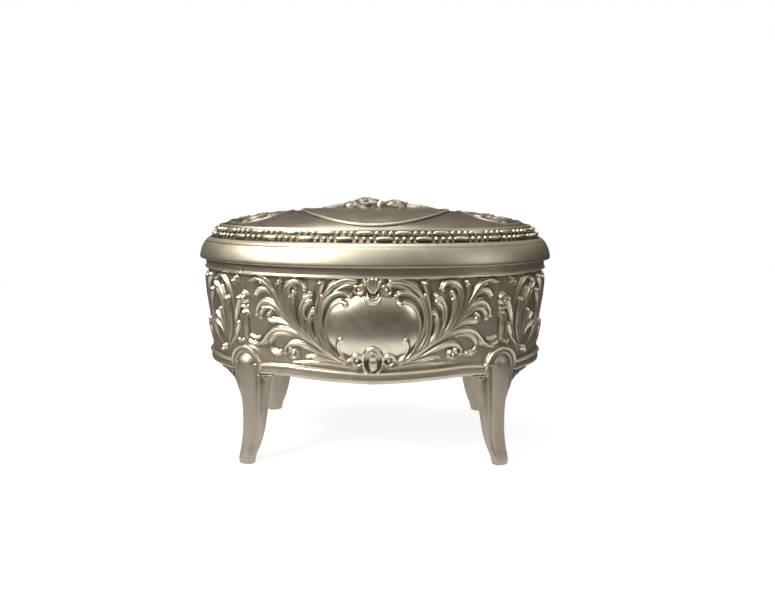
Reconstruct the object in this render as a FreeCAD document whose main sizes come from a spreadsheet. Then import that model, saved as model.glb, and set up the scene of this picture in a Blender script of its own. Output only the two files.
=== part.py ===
"""Footed oval trinket box of cast white metal, with a hinged domed lid and a velvet lining.

The four wall panels, the four legs, the lid and its plaque are separate castings soldered together.
Millimetres, +Z up. The origin is on the table, under the middle of the box. The front faces -Y.
Ovals are ellipses named by their inset from the lid's edge, so they all stay parallel to it.
"""

import FreeCAD, Part
import os

SIZES = [
    # the lid's outline and the heights of the box
    ("lid_length", 115.0),
    ("lid_width", 75.0),
    ("rim_height", 61.8),
    ("leg_height", 28.1),
    ("seat_gap", 0.1),
    # the walls: insets are measured inwards from the lid's edge
    ("band_inset", 1.9),
    ("band_height", 2.8),
    ("fillet_proud", 0.5),
    ("ground_inset", 2.5),
    ("wall_draft", 0.9),
    ("wall_thickness", 1.9),
    ("apron_height", 3.0),
    ("apron_proud", 0.8),
    ("ledge_width", 1.2),
    ("ledge_height", 1.8),
    ("corner_x", 38.0),
    # the plain oval boss in the middle of each panel
    ("boss_width", 27.0),
    ("boss_height", 18.8),
    ("boss_middle", 44.5),
    ("boss_proud", 2.6),
    ("boss_sink", 1.1),
    # legs: widths run along the wall, and flatness is a section's depth over its width
    ("leg_wing_reach", 11.5),
    ("leg_wing_thickness", 2.6),
    ("leg_wing_flatness", 0.75),
    ("leg_wing_set_back", 0.2),
    ("leg_half_width", 3.3),
    ("leg_flatness", 0.83),
    ("knee_proud", 0.5),
    ("ankle_half_width", 2.8),
    ("ankle_height", 12.0),
    ("ankle_set_back", 1.4),
    ("toe_half_width", 2.7),
    ("toe_set_out", 1.9),
    ("toe_height", 2.2),
    ("arch_radius", 6.0),
    ("arch_proud", 1.2),
    # floor and lining
    ("floor_thickness", 1.0),
    ("lining_clearance", 0.1),
    ("card_thickness", 0.8),
    ("velvet_thickness", 0.8),
    ("lining_below_rim", 0.9),
    ("floor_pad_height", 4.0),
    # lid: an ovolo edge, a channel for two rows of beads, a ridge and a dome
    ("lip_height", 0.8),
    ("ovolo_inset", 3.6),
    ("ovolo_height", 6.7),
    ("channel_inset", 4.0),
    ("channel_height", 6.9),
    ("ridge_inset", 6.8),
    ("ridge_height", 10.6),
    ("ridge_width", 0.7),
    ("dome_height", 15.8),
    ("dome_bulge", 7.5),
    ("lid_thickness", 1.6),
    ("lid_land", 4.9),
    ("lid_pad_height", 1.6),
    ("lid_pad_recess", 0.8),
    # plaque on the lid: aspect is its length over its width, relief the height of its modelling
    ("plaque_margin", 0.6),
    ("plaque_aspect", 0.82),
    ("plaque_thickness", 0.5),
    ("plaque_relief", 3.2),
    # hinge
    ("hinge_width", 22.0),
    ("knuckle_width", 7.2),
    ("knuckle_gap", 0.2),
    ("knuckle_radius", 1.2),
    ("knuckle_set_out", 1.5),
    ("pin_radius", 0.6),
    ("pin_clearance", 0.05),
    ("pin_head_radius", 0.95),
    ("pin_head_width", 0.5),
    ("notch_clearance", 0.3),
    ("leaf_thickness", 0.6),
    ("leaf_reach", 4.2),
    # the stop rib on the lid's knuckle meets the body leaf when the lid is fully open
    ("stop_radius", 0.45),
    ("stop_reach", 1.3),
    ("stop_angle", 106.0),
]

doc = FreeCAD.newDocument("TrinketBox")
sheet = doc.addObject("Spreadsheet::Sheet", "Sizes")
for row, (alias, value) in enumerate(SIZES, start=1):
    sheet.set(f"A{row}", alias)
    sheet.set(f"B{row}", str(value))
    sheet.setAlias(f"B{row}", alias)
doc.recompute()

# Heights and insets that follow from the sheet, as expressions.
PANEL_TOP = "(Sizes.rim_height - Sizes.band_height)"
LID_BASE = "(Sizes.rim_height + Sizes.seat_gap)"
FLOOR_BASE = "(Sizes.leg_height + Sizes.ledge_height)"
FLOOR_TOP = f"({FLOOR_BASE} + Sizes.floor_thickness)"
LINING_TOP = "(Sizes.rim_height - Sizes.lining_below_rim)"
FIELD_INSET = "(Sizes.ridge_inset + Sizes.ridge_width)"


def ground_inset(height, depth="0"):
    """Inset of the walls' outer face at a height, less their draft, plus a depth into the wall."""
    share = f"(({PANEL_TOP}) - ({height})) / (({PANEL_TOP}) - Sizes.leg_height)"
    return f"(Sizes.ground_inset + Sizes.wall_draft * {share} + ({depth}))"


def feature(kind, label, **expressions):
    """A document object whose properties are bound to the sheet."""
    made = doc.addObject(kind, label)
    made.Label = label
    for name, expression in expressions.items():
        made.setExpression(name.replace("__", "."), expression)
    return made


def oval(label, inset, height):
    """An ellipse that runs parallel to the lid's edge."""
    return feature(
        "Part::Ellipse",
        label,
        MajorRadius=f"Sizes.lid_length / 2 - ({inset})",
        MinorRadius=f"Sizes.lid_width / 2 - ({inset})",
        Placement__Base__z=height,
    )


def loft(label, sections, ruled=True):
    made = doc.addObject("Part::Loft", label)
    made.Label = label
    made.Sections = sections
    made.Solid = True
    made.Ruled = ruled
    return made


def oval_solid(label, sections):
    """A solid through ovals, given from the bottom up as pairs of inset and height."""
    ovals = [oval(f"{label}_oval_{i}", *section) for i, section in enumerate(sections)]
    return loft(label, ovals)


def boolean(kind, label, base, tool):
    made = doc.addObject(kind, label)
    made.Label = label
    made.Base = base
    made.Tool = tool
    made.Refine = False
    return made


def cut(label, base, tool):
    return boolean("Part::Cut", label, base, tool)


def common(label, base, tool):
    return boolean("Part::Common", label, base, tool)


def fuse(label, base, tool):
    return boolean("Part::Fuse", label, base, tool)


def mirrored(label, source, normal):
    made = doc.addObject("Part::Mirroring", label)
    made.Label = label
    made.Source = source
    made.Normal = normal
    return made


# ---------------------------------------------------------------- walls
# One oval wall, split into four panels by mitre planes that stand square to it at the corners.

STEP_RISE = 0.4  # height over which a moulding steps in or out
APRON_TOP = "(Sizes.leg_height + Sizes.apron_height)"


def wall_outline():
    """The outside of the walls from the apron up to the rim."""
    apron = "-Sizes.apron_proud"
    foot = f"({APRON_TOP} + {STEP_RISE})"
    head = f"({PANEL_TOP} - {STEP_RISE})"
    fillet = "(Sizes.band_inset - Sizes.fillet_proud)"
    return [
        (ground_inset("Sizes.leg_height", apron), "Sizes.leg_height"),
        (ground_inset(APRON_TOP, apron), APRON_TOP),
        (ground_inset(foot), foot),
        (ground_inset(head), head),
        (fillet, PANEL_TOP),
        (fillet, f"({PANEL_TOP} + {STEP_RISE})"),
        ("Sizes.band_inset", f"({PANEL_TOP} + 2 * {STEP_RISE})"),
        ("Sizes.band_inset", "Sizes.rim_height"),
    ]


LEDGE = "Sizes.wall_thickness + Sizes.ledge_width"
wall_block = oval_solid("wall_block", wall_outline())
wall_core = oval_solid(
    "wall_core",
    [
        (ground_inset(FLOOR_BASE, "Sizes.wall_thickness"), FLOOR_BASE),
        (ground_inset("Sizes.rim_height", "Sizes.wall_thickness"), "Sizes.rim_height"),
    ],
)
ledge_core = oval_solid(
    "ledge_core",
    [
        (ground_inset("Sizes.leg_height", LEDGE), "Sizes.leg_height"),
        (ground_inset(FLOOR_BASE, LEDGE), FLOOR_BASE),
    ],
)
wall_ring = cut("wall_ring", cut("wall_ring_over_ledge", wall_block, wall_core), ledge_core)

# The corner point lies on the wall's outer face, and n is the wall's outward direction there.
A = f"(Sizes.lid_length / 2 - {ground_inset('Sizes.leg_height')})"
B = f"(Sizes.lid_width / 2 - {ground_inset('Sizes.leg_height')})"
CORNER_Y = f"({B} * sqrt(1 - (Sizes.corner_x / {A})^2))"
MITRE_SLOPE = f"((Sizes.corner_x / {A}^2) / ({CORNER_Y} / {B}^2))"
MITRE_INNER_SHARE = 0.25  # where the zone starts, as a share of the corner's distance
MITRE_INNER = f"({CORNER_Y} * {MITRE_INNER_SHARE})"
MITRE_OUTER = "Sizes.lid_width"


def mitre_half_width(distance):
    """Half the width of the front panel's zone at a distance in front of the middle of the box."""
    return f"(Sizes.corner_x + ({distance} - {CORNER_Y}) * {MITRE_SLOPE})"


front_zone = feature(
    "Part::Wedge",
    "front_zone",
    Ymin=f"-{MITRE_OUTER}",
    Ymax=f"-{MITRE_INNER}",
    Xmin=f"-{mitre_half_width(MITRE_OUTER)}",
    Xmax=mitre_half_width(MITRE_OUTER),
    X2min=f"-{mitre_half_width(MITRE_INNER)}",
    X2max=mitre_half_width(MITRE_INNER),
    Zmin="0",
    Z2min="0",
    Zmax="Sizes.rim_height * 2",
    Z2max="Sizes.rim_height * 2",
)
back_zone = mirrored("back_zone", front_zone, FreeCAD.Vector(0, 1, 0))
right_half = feature(
    "Part::Box",
    "right_half",
    Length="Sizes.lid_length",
    Width="2 * Sizes.lid_width",
    Height="Sizes.rim_height * 2",
    Placement__Base__y="-Sizes.lid_width",
)
# The boss is a low dome whose rim sinks into the curved wall.
boss_shape = feature(
    "Part::Ellipsoid",
    "boss_shape",
    Radius1="Sizes.boss_height / 2",
    Radius2="Sizes.boss_width / 2",
    Radius3="Sizes.boss_proud + Sizes.boss_sink",
    Placement__Base__y=f"{ground_inset('Sizes.boss_middle')} + Sizes.boss_sink - Sizes.lid_width / 2",
    Placement__Base__z="Sizes.boss_middle",
)
front_wall = common("front_wall", wall_ring, front_zone)
front_panel = fuse("front_panel", front_wall, cut("boss", boss_shape, wall_block))
end_walls = cut("end_walls", cut("walls_less_front", wall_ring, front_zone), back_zone)
right_panel = common("right_panel", end_walls, right_half)
left_panel = mirrored("left_panel", right_panel, FreeCAD.Vector(1, 0, 0))
back_panel = mirrored("back_panel", front_panel, FreeCAD.Vector(0, 1, 0))

# ---------------------------------------------------------------- legs
# A leg is a tapering rib with a thin wing on each side that carries on the wall's curve,
# and an arched plate that laps the joint between two panels.

NORMAL_ANGLE = f"(atan(1 / {MITRE_SLOPE}))"  # of the outward direction, from +X


def at_corner(out):
    """Bindings that place an object over the front right corner, a distance out from the wall."""
    return {
        "Placement__Base__x": f"Sizes.corner_x + ({out}) * cos({NORMAL_ANGLE})",
        "Placement__Base__y": f"-({CORNER_Y} + ({out}) * sin({NORMAL_ANGLE}))",
        "Placement__Rotation__Angle": f"90 deg - {NORMAL_ANGLE}",
    }


def leg_loft(label, flatness, sections):
    """A smooth solid through ellipses, each given by its height, distance out and half width."""
    rings = [
        feature(
            "Part::Ellipse",
            f"{label}_ring_{i}",
            MajorRadius=half_width,
            MinorRadius=f"({half_width}) * {flatness}",
            Placement__Base__z=height,
            **at_corner(out),
        )
        for i, (height, out, half_width) in enumerate(sections)
    ]
    return loft(label, rings, ruled=False)


KNEE_HEIGHT = "(Sizes.leg_height + Sizes.apron_height)"
SOLE_WIDTH_SHARE = 0.9  # of the toe's width
SHIN_SET_OUT_SHARE = 0.25  # of the way from the ankle's set back to the toe's set out
CALF_SET_BACK_SHARE = 0.8  # of the ankle's set back
# The knee is closed by a small dome; these are shares of the leg's half width.
KNEE_DOME_RISE = 0.9
KNEE_DOME_SET_BACK = 0.4
KNEE_DOME_WIDTH = 0.6
rib = leg_loft(
    "leg_rib",
    "Sizes.leg_flatness",
    [
        ("0", "Sizes.toe_set_out", f"Sizes.toe_half_width * {SOLE_WIDTH_SHARE}"),
        ("Sizes.toe_height", "Sizes.toe_set_out", "Sizes.toe_half_width"),
        (
            "(Sizes.toe_height + Sizes.ankle_height) / 2",
            f"(Sizes.toe_set_out - Sizes.ankle_set_back) * {SHIN_SET_OUT_SHARE}",
            "(Sizes.toe_half_width + Sizes.ankle_half_width) / 2",
        ),
        ("Sizes.ankle_height", "-Sizes.ankle_set_back", "Sizes.ankle_half_width"),
        (
            "(Sizes.ankle_height + Sizes.leg_height) / 2",
            f"-Sizes.ankle_set_back * {CALF_SET_BACK_SHARE}",
            "(Sizes.ankle_half_width + Sizes.leg_half_width) / 2",
        ),
        (KNEE_HEIGHT, "Sizes.knee_proud", "Sizes.leg_half_width"),
        (
            f"({KNEE_HEIGHT} + Sizes.leg_half_width * {KNEE_DOME_RISE})",
            f"Sizes.knee_proud - Sizes.leg_half_width * {KNEE_DOME_SET_BACK}",
            f"Sizes.leg_half_width * {KNEE_DOME_WIDTH}",
        ),
    ],
)
# The wings start inside the rib and flare out to the apron.
WING_START_HEIGHT = 0.6  # of the ankle's height
WING_START_WIDTH = 0.9  # of the ankle's half width
WING_ANKLE_MARGIN = 0.6  # how far the wings stand out of the rib at the ankle, in millimetres
WING_CALF_DROP = 0.7  # below the apron, as a share of the wings' reach
WING_CALF_WIDTH = 1.4  # of the leg's half width
WING_FLARE_DROP = 0.2  # below the apron, as a share of the wings' reach
WING_FLARE_WIDTH = 0.7  # of the wings' reach
wing_flare = leg_loft(
    "wing_flare",
    "Sizes.leg_wing_flatness",
    [
        (f"Sizes.ankle_height * {WING_START_HEIGHT}", "0", f"Sizes.ankle_half_width * {WING_START_WIDTH}"),
        ("Sizes.ankle_height", "0", f"Sizes.ankle_half_width + {WING_ANKLE_MARGIN}"),
        (
            f"Sizes.leg_height - Sizes.leg_wing_reach * {WING_CALF_DROP}",
            "0",
            f"Sizes.leg_half_width * {WING_CALF_WIDTH}",
        ),
        (
            f"Sizes.leg_height - Sizes.leg_wing_reach * {WING_FLARE_DROP}",
            "0",
            f"Sizes.leg_wing_reach * {WING_FLARE_WIDTH}",
        ),
        ("Sizes.leg_height", "0", "Sizes.leg_wing_reach"),
    ],
)
WING_DEPTH = "Sizes.leg_wing_set_back - Sizes.apron_proud"


def wing_face(label, depth):
    """The wall's own slope carried on down to the table, at a depth from its face."""
    return oval_solid(
        label,
        [(ground_inset("0", depth), "0"), (ground_inset("Sizes.leg_height", depth), "Sizes.leg_height")],
    )


wing_ring = cut(
    "wing_ring",
    wing_face("wing_outer", WING_DEPTH),
    wing_face("wing_inner", f"{WING_DEPTH} + Sizes.leg_wing_thickness"),
)
arch_skin = oval_solid(
    "arch_skin",
    [
        (ground_inset("Sizes.leg_height", "-Sizes.arch_proud"), "Sizes.leg_height"),
        (ground_inset(PANEL_TOP, "-Sizes.arch_proud"), PANEL_TOP),
    ],
)
arch_shape = feature(
    "Part::Ellipsoid",
    "arch_shape",
    Radius1="Sizes.arch_radius",
    Radius2="Sizes.arch_radius",
    Radius3="Sizes.arch_radius",
    Placement__Base__z=KNEE_HEIGHT,
    **at_corner("0"),
)
arch_plate = common("arch_plate", arch_skin, arch_shape)
rib_and_arch = cut("rib_and_arch", fuse("rib_and_disc", rib, arch_plate), wall_block)
leg_front_right = fuse("leg_front_right", rib_and_arch, common("wings", wing_ring, wing_flare))
leg_front_left = mirrored("leg_front_left", leg_front_right, FreeCAD.Vector(1, 0, 0))
leg_back_right = mirrored("leg_back_right", leg_front_right, FreeCAD.Vector(0, 1, 0))
leg_back_left = mirrored("leg_back_left", leg_front_left, FreeCAD.Vector(0, 1, 0))

# ---------------------------------------------------------------- floor and lining
# The floor drops on the ledge inside the panels. Velvet over card lines the floor and the walls.

LINING_INSET = "Sizes.wall_thickness + Sizes.lining_clearance"
INSIDE_INSET = f"{LINING_INSET} + Sizes.card_thickness + Sizes.velvet_thickness"
CARD_TOP = f"({FLOOR_TOP} + Sizes.card_thickness)"
PAD_TOP = f"({CARD_TOP} + Sizes.floor_pad_height)"


def lining_face(label, inset):
    return oval_solid(
        label,
        [(ground_inset(FLOOR_TOP, inset), FLOOR_TOP), (ground_inset(LINING_TOP, inset), LINING_TOP)],
    )


PLATE_INSET = ground_inset(FLOOR_BASE, LINING_INSET)
floor_plate = oval_solid("floor_plate", [(PLATE_INSET, FLOOR_BASE), (PLATE_INSET, FLOOR_TOP)])
wall_lining = cut(
    "wall_lining",
    lining_face("lining_outer", LINING_INSET),
    lining_face("lining_inner", INSIDE_INSET),
)
CARD_INSET = ground_inset(FLOOR_TOP, f"{INSIDE_INSET} + Sizes.lining_clearance")
floor_card = oval_solid("floor_card", [(CARD_INSET, FLOOR_TOP), (CARD_INSET, CARD_TOP)])
floor_pad = oval_solid(
    "floor_pad",
    [
        (CARD_INSET, CARD_TOP),
        (CARD_INSET, f"({PAD_TOP} - Sizes.velvet_thickness)"),
        (f"({CARD_INSET} + Sizes.velvet_thickness)", PAD_TOP),
    ],
)

# ---------------------------------------------------------------- lid


def lid_height(above):
    """A height measured up from the lid's lower edge."""
    return f"({LID_BASE} + ({above}))"


FIELD_HALF_LENGTH = f"(Sizes.lid_length / 2 - {FIELD_INSET})"
FIELD_HALF_WIDTH = f"(Sizes.lid_width / 2 - {FIELD_INSET})"
DOME_RISE = "(Sizes.dome_height - Sizes.ridge_height)"
DOME_SPREAD = f"sqrt(1 - (1 - {DOME_RISE} / Sizes.dome_bulge)^2)"


def dome(label, inwards, lift, edge_inset):
    """The cap of an ellipsoid that meets the ridge all round, shrunk inwards and raised by lift."""
    whole = feature(
        "Part::Ellipsoid",
        f"{label}_whole",
        Radius1="Sizes.dome_bulge",
        Radius2=f"{FIELD_HALF_LENGTH} / {DOME_SPREAD} - {inwards}",
        Radius3=f"{FIELD_HALF_WIDTH} / {DOME_SPREAD} - {inwards}",
        Placement__Base__z=lid_height(f"Sizes.dome_height - Sizes.dome_bulge + {lift}"),
    )
    column = oval_solid(
        f"{label}_column",
        [(edge_inset, LID_BASE), (edge_inset, lid_height("Sizes.dome_height * 2"))],
    )
    return common(label, whole, column)


# The ovolo's quarter round, as shares of its inset and of its height.
OVOLO_CURVE = [(0.08, 0.32), (0.24, 0.56), (0.5, 0.8), (0.78, 0.95)]
ovolo = [
    (f"Sizes.ovolo_inset * {run}", lid_height(f"Sizes.ovolo_height * {rise}"))
    for run, rise in OVOLO_CURVE
]
lid_moulding = oval_solid(
    "lid_moulding",
    [
        ("0", LID_BASE),
        ("0", lid_height("Sizes.lip_height")),
        *ovolo,
        ("Sizes.ovolo_inset", lid_height("Sizes.ovolo_height")),
        ("Sizes.channel_inset", lid_height("Sizes.channel_height")),
        ("Sizes.ridge_inset - Sizes.ridge_width / 2", lid_height("Sizes.ridge_height - Sizes.ridge_width")),
        ("Sizes.ridge_inset", lid_height("Sizes.ridge_height")),
        (FIELD_INSET, lid_height("Sizes.ridge_height")),
    ],
)
HOLLOW_INSET = "(Sizes.ridge_inset + Sizes.lid_thickness / 2)"
SLOPE_ALLOWANCE = 1.4  # the casting is measured straight down, so a slope needs more than its thickness
ROOF_DROP = f"Sizes.lid_thickness * {SLOPE_ALLOWANCE}"
lid_hollow_foot = oval_solid(
    "lid_hollow_foot",
    [
        ("Sizes.lid_land", LID_BASE),
        ("Sizes.lid_land", lid_height(f"Sizes.channel_height - {ROOF_DROP}")),
        (HOLLOW_INSET, lid_height(f"Sizes.ridge_height - {ROOF_DROP}")),
    ],
)
HOLLOW_DOME_INSET = f"({HOLLOW_INSET} + Sizes.lid_thickness / 2)"
hollow_dome = dome("hollow_dome", "Sizes.lid_thickness", "-Sizes.lid_thickness", HOLLOW_DOME_INSET)
lid_hollow = fuse("lid_hollow", lid_hollow_foot, hollow_dome)
lid_block = fuse("lid_block", lid_moulding, dome("field_dome", "0", "0", FIELD_INSET))
lid_casting = cut("lid_casting", lid_block, lid_hollow)

lid_card = oval_solid(
    "lid_card",
    [
        ("Sizes.lid_land", lid_height("Sizes.lid_pad_recess + Sizes.lid_pad_height")),
        ("Sizes.lid_land", lid_height("Sizes.lid_pad_recess + Sizes.lid_pad_height + Sizes.card_thickness")),
    ],
)
LID_PAD_INSET = "(Sizes.lid_land + Sizes.lining_clearance)"
lid_pad = oval_solid(
    "lid_pad",
    [
        (f"{LID_PAD_INSET} + Sizes.velvet_thickness", lid_height("Sizes.lid_pad_recess")),
        (LID_PAD_INSET, lid_height("Sizes.lid_pad_recess + Sizes.velvet_thickness")),
        (LID_PAD_INSET, lid_height("Sizes.lid_pad_recess + Sizes.lid_pad_height")),
    ],
)

# The plaque is bent to the dome: its underside is the dome, and its top a copy of the dome raised.
PLAQUE_HALF_WIDTH = f"({FIELD_HALF_WIDTH} - Sizes.plaque_margin)"
plaque_outline = feature(
    "Part::Ellipse",
    "plaque_outline",
    MajorRadius=PLAQUE_HALF_WIDTH,
    MinorRadius=f"{PLAQUE_HALF_WIDTH} * Sizes.plaque_aspect",
    Placement__Base__z=LID_BASE,
)
plaque_outline.Placement.Rotation = FreeCAD.Rotation(FreeCAD.Vector(0, 0, 1), 90)
plaque_column = feature("Part::Extrusion", "plaque_column", LengthFwd="Sizes.dome_height * 2")
plaque_column.Base = plaque_outline
plaque_column.Dir = FreeCAD.Vector(0, 0, 1)
plaque_column.Solid = True
raised_dome = dome("raised_dome", "0", "Sizes.plaque_thickness", "Sizes.ridge_inset")
# The modelling covers these shares of the plaque's width and length.
RELIEF_WIDTH_SHARE = 0.9
RELIEF_LENGTH_SHARE = 0.7
plaque_relief = feature(
    "Part::Ellipsoid",
    "plaque_relief",
    Radius1="Sizes.plaque_relief",
    Radius2=f"{PLAQUE_HALF_WIDTH} * Sizes.plaque_aspect * {RELIEF_WIDTH_SHARE}",
    Radius3=f"{PLAQUE_HALF_WIDTH} * {RELIEF_LENGTH_SHARE}",
    Placement__Base__z=lid_height("Sizes.dome_height + Sizes.plaque_thickness"),
)
plaque_disc = common("plaque_disc", raised_dome, plaque_column)
plaque = cut("plaque", fuse("plaque_blank", plaque_disc, plaque_relief), lid_block)

# ---------------------------------------------------------------- hinge
# Three knuckles on a riveted pin at the back. The body leaf lies on the plain band and carries the
# outer two; the lid leaf is let into the underside of the lid and carries the middle one.

HINGE_Y = "(Sizes.lid_width / 2 - Sizes.band_inset + Sizes.knuckle_set_out)"
HINGE_Z = "Sizes.rim_height"


def rod(label, radius, length, out="0", up="0"):
    """A round bar along X, centred on the middle of the box, beside the hinge's axis."""
    made = feature(
        "Part::Cylinder",
        label,
        Radius=radius,
        Height=length,
        Placement__Base__x=f"-({length}) / 2",
        Placement__Base__y=f"{HINGE_Y} + ({out})",
        Placement__Base__z=f"{HINGE_Z} + ({up})",
    )
    made.Placement.Rotation = FreeCAD.Rotation(FreeCAD.Vector(0, 1, 0), 90)
    return made


def block(label, length, y_from, y_to, z_from, z_to):
    """A rectangular bar centred on the middle of the box."""
    return feature(
        "Part::Box",
        label,
        Length=length,
        Width=f"({y_to}) - ({y_from})",
        Height=f"({z_to}) - ({z_from})",
        Placement__Base__x=f"-({length}) / 2",
        Placement__Base__y=y_from,
        Placement__Base__z=z_from,
    )


BORE = "Sizes.pin_radius + Sizes.pin_clearance"
MIDDLE_GAP = "Sizes.knuckle_width + 2 * Sizes.knuckle_gap"
WALL_FACE = "(Sizes.lid_width / 2 - Sizes.band_inset)"
bore = rod("bore", BORE, "Sizes.hinge_width * 2")

body_strip = block(
    "body_strip",
    "Sizes.hinge_width",
    f"{WALL_FACE} - Sizes.wall_thickness",
    f"{WALL_FACE} + Sizes.leaf_thickness",
    f"{PANEL_TOP} + 2 * {STEP_RISE}",
    "Sizes.rim_height",
)
body_barrel = cut(
    "body_barrel",
    fuse("body_strip_and_barrel", body_strip, rod("barrel", "Sizes.knuckle_radius", "Sizes.hinge_width")),
    rod("middle_gap", "Sizes.knuckle_radius + Sizes.knuckle_gap", MIDDLE_GAP),
)
hinge_body_leaf = cut("hinge_body_leaf", cut("body_leaf_bored", body_barrel, bore), wall_block)

lid_strip = block(
    "lid_strip",
    "Sizes.hinge_width",
    f"{WALL_FACE} - Sizes.leaf_reach / 2",
    f"{WALL_FACE} - Sizes.knuckle_gap",
    LID_BASE,
    lid_height("Sizes.leaf_thickness"),
)
lid_tongue = block(
    "lid_tongue",
    "Sizes.knuckle_width",
    f"{WALL_FACE} - Sizes.leaf_reach / 2",
    HINGE_Y,
    LID_BASE,
    lid_height("Sizes.leaf_thickness"),
)
STOP_TURN = "(acos((Sizes.stop_radius + Sizes.leaf_thickness - Sizes.knuckle_set_out) / Sizes.stop_reach))"
STOP_REST = f"({STOP_TURN} - Sizes.stop_angle * 1 deg)"
stop_rib = rod(
    "stop_rib",
    "Sizes.stop_radius",
    "Sizes.knuckle_width",
    f"Sizes.stop_reach * cos({STOP_REST})",
    f"-Sizes.stop_reach * sin({STOP_REST})",
)
lid_leaf_plate = fuse("lid_leaf_plate", lid_strip, lid_tongue)
lid_knuckle = fuse("lid_knuckle", rod("lid_barrel", "Sizes.knuckle_radius", "Sizes.knuckle_width"), stop_rib)
hinge_lid_leaf = cut("hinge_lid_leaf", fuse("lid_leaf_solid", lid_leaf_plate, lid_knuckle), bore)

RIVETED_WIDTH = "Sizes.hinge_width + 2 * Sizes.pin_head_width"
pin_heads = cut(
    "pin_heads",
    rod("head_bar", "Sizes.pin_head_radius", RIVETED_WIDTH),
    rod("head_gap", "Sizes.knuckle_radius * 2", "Sizes.hinge_width"),
)
hinge_pin = fuse("hinge_pin", rod("pin_shaft", "Sizes.pin_radius", RIVETED_WIDTH), pin_heads)

hinge_notch = rod(
    "hinge_notch",
    "Sizes.knuckle_radius + Sizes.notch_clearance",
    f"{RIVETED_WIDTH} + 2 * Sizes.notch_clearance",
)
lid_shell = cut("lid_shell", cut("lid_notched", lid_casting, hinge_notch), lid_leaf_plate)

# ---------------------------------------------------------------- output

PIECES = [
    front_panel,
    back_panel,
    left_panel,
    right_panel,
    leg_front_left,
    leg_front_right,
    leg_back_left,
    leg_back_right,
    floor_plate,
    wall_lining,
    floor_card,
    floor_pad,
    hinge_body_leaf,
    hinge_pin,
    lid_shell,
    plaque,
    lid_card,
    lid_pad,
    hinge_lid_leaf,
]

doc.recompute()
for item in doc.Objects:
    if "Invalid" in item.State or "Error" in item.State:
        raise RuntimeError(f"{item.Label}: {item.State}")
for piece in PIECES:
    shape = piece.Shape
    if shape.isNull() or not shape.isValid() or len(shape.Solids) != 1:
        raise RuntimeError(f"{piece.Label}: {len(shape.Solids)} solids, valid {shape.isValid()}")

os.makedirs("parts", exist_ok=True)
for piece in PIECES:
    piece.Shape.exportStep(f"parts/{piece.Label}.step")
    box = piece.Shape.BoundBox
    print(f"{piece.Label:18s} {piece.Shape.Volume:9.1f} mm3  z {box.ZMin:6.2f} to {box.ZMax:6.2f}")
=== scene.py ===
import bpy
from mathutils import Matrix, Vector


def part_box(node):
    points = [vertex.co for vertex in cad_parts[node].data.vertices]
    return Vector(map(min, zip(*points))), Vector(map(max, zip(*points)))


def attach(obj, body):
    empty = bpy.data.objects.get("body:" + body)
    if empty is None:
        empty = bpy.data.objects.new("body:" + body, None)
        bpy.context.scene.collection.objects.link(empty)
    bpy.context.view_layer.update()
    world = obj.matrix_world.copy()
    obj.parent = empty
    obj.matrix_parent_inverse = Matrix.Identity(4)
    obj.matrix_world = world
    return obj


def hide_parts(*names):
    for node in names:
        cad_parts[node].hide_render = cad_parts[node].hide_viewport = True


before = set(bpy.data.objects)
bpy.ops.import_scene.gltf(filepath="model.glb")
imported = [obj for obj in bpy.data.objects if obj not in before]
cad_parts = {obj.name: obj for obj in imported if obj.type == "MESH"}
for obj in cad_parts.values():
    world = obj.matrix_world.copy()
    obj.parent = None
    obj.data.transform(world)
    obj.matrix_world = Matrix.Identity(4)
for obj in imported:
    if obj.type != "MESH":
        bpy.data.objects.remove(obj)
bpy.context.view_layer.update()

import math

import bmesh
import bpy
import numpy as np
from mathutils import Matrix, Vector

# -------------------- wall panels
# Four cast white-metal panels with relief scrollwork, mitred and soldered at the corners.
# They follow ovals parallel to the lid's edge; distances are millimetres from the edge inwards.
MM = 0.001
LID_HALF_LENGTH = 57.5
LID_HALF_WIDTH = 37.5
RIM_HEIGHT = 61.8
LEG_HEIGHT = 28.1
PANEL_TOP = 59.0
APRON_TOP = 31.1
GROUND_INSET = 2.5
WALL_DRAFT = 0.9
WALL_THICKNESS = 1.9
CORNER_X = 38.0


def ground_inset(z):
    """How far the plain wall stands in from the lid's edge at a height."""
    return GROUND_INSET + WALL_DRAFT * (PANEL_TOP - z) / (PANEL_TOP - LEG_HEIGHT)


# Distance along the wall from the middle of the front, against the oval's own angle.
quarter_angle = np.linspace(0.0, math.pi / 2, 2001)
wall_run = np.hypot(
    np.diff((LID_HALF_LENGTH - GROUND_INSET) * np.sin(quarter_angle)),
    np.diff((LID_HALF_WIDTH - GROUND_INSET) * np.cos(quarter_angle)),
)
quarter_run = np.concatenate([[0.0], np.cumsum(wall_run)])
QUARTER = float(quarter_run[-1])
corner_angle = math.asin(CORNER_X / (LID_HALF_LENGTH - ground_inset(LEG_HEIGHT)))
CORNER_RUN = float(np.interp(corner_angle, quarter_angle, quarter_run))

# The apron's lower edge waves gently: down in the middle of a side, and up towards the legs.
APRON_RISE = [
    (0, -0.4), (10, 0), (20, 0.55), (26, 0.9), (31, 0.75), (36, 0.2), (40.4, 0), (47, 0.2), (55, 0.4),
    (71.6, 0.2),
]


def apron_rise(run, z):
    """How far the apron is raised at a distance along the wall; it fades out above the moulding."""
    return np.interp(run, *zip(*APRON_RISE)) * np.clip((34.5 - z) / 2.7, 0.0, 1.0)

GRAIN = 0.1  # size of a cell of a relief's height map
HOLLOW_DEPTH = 0.6  # a recess this deep is as dark as the patina and the painted shade get


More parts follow.
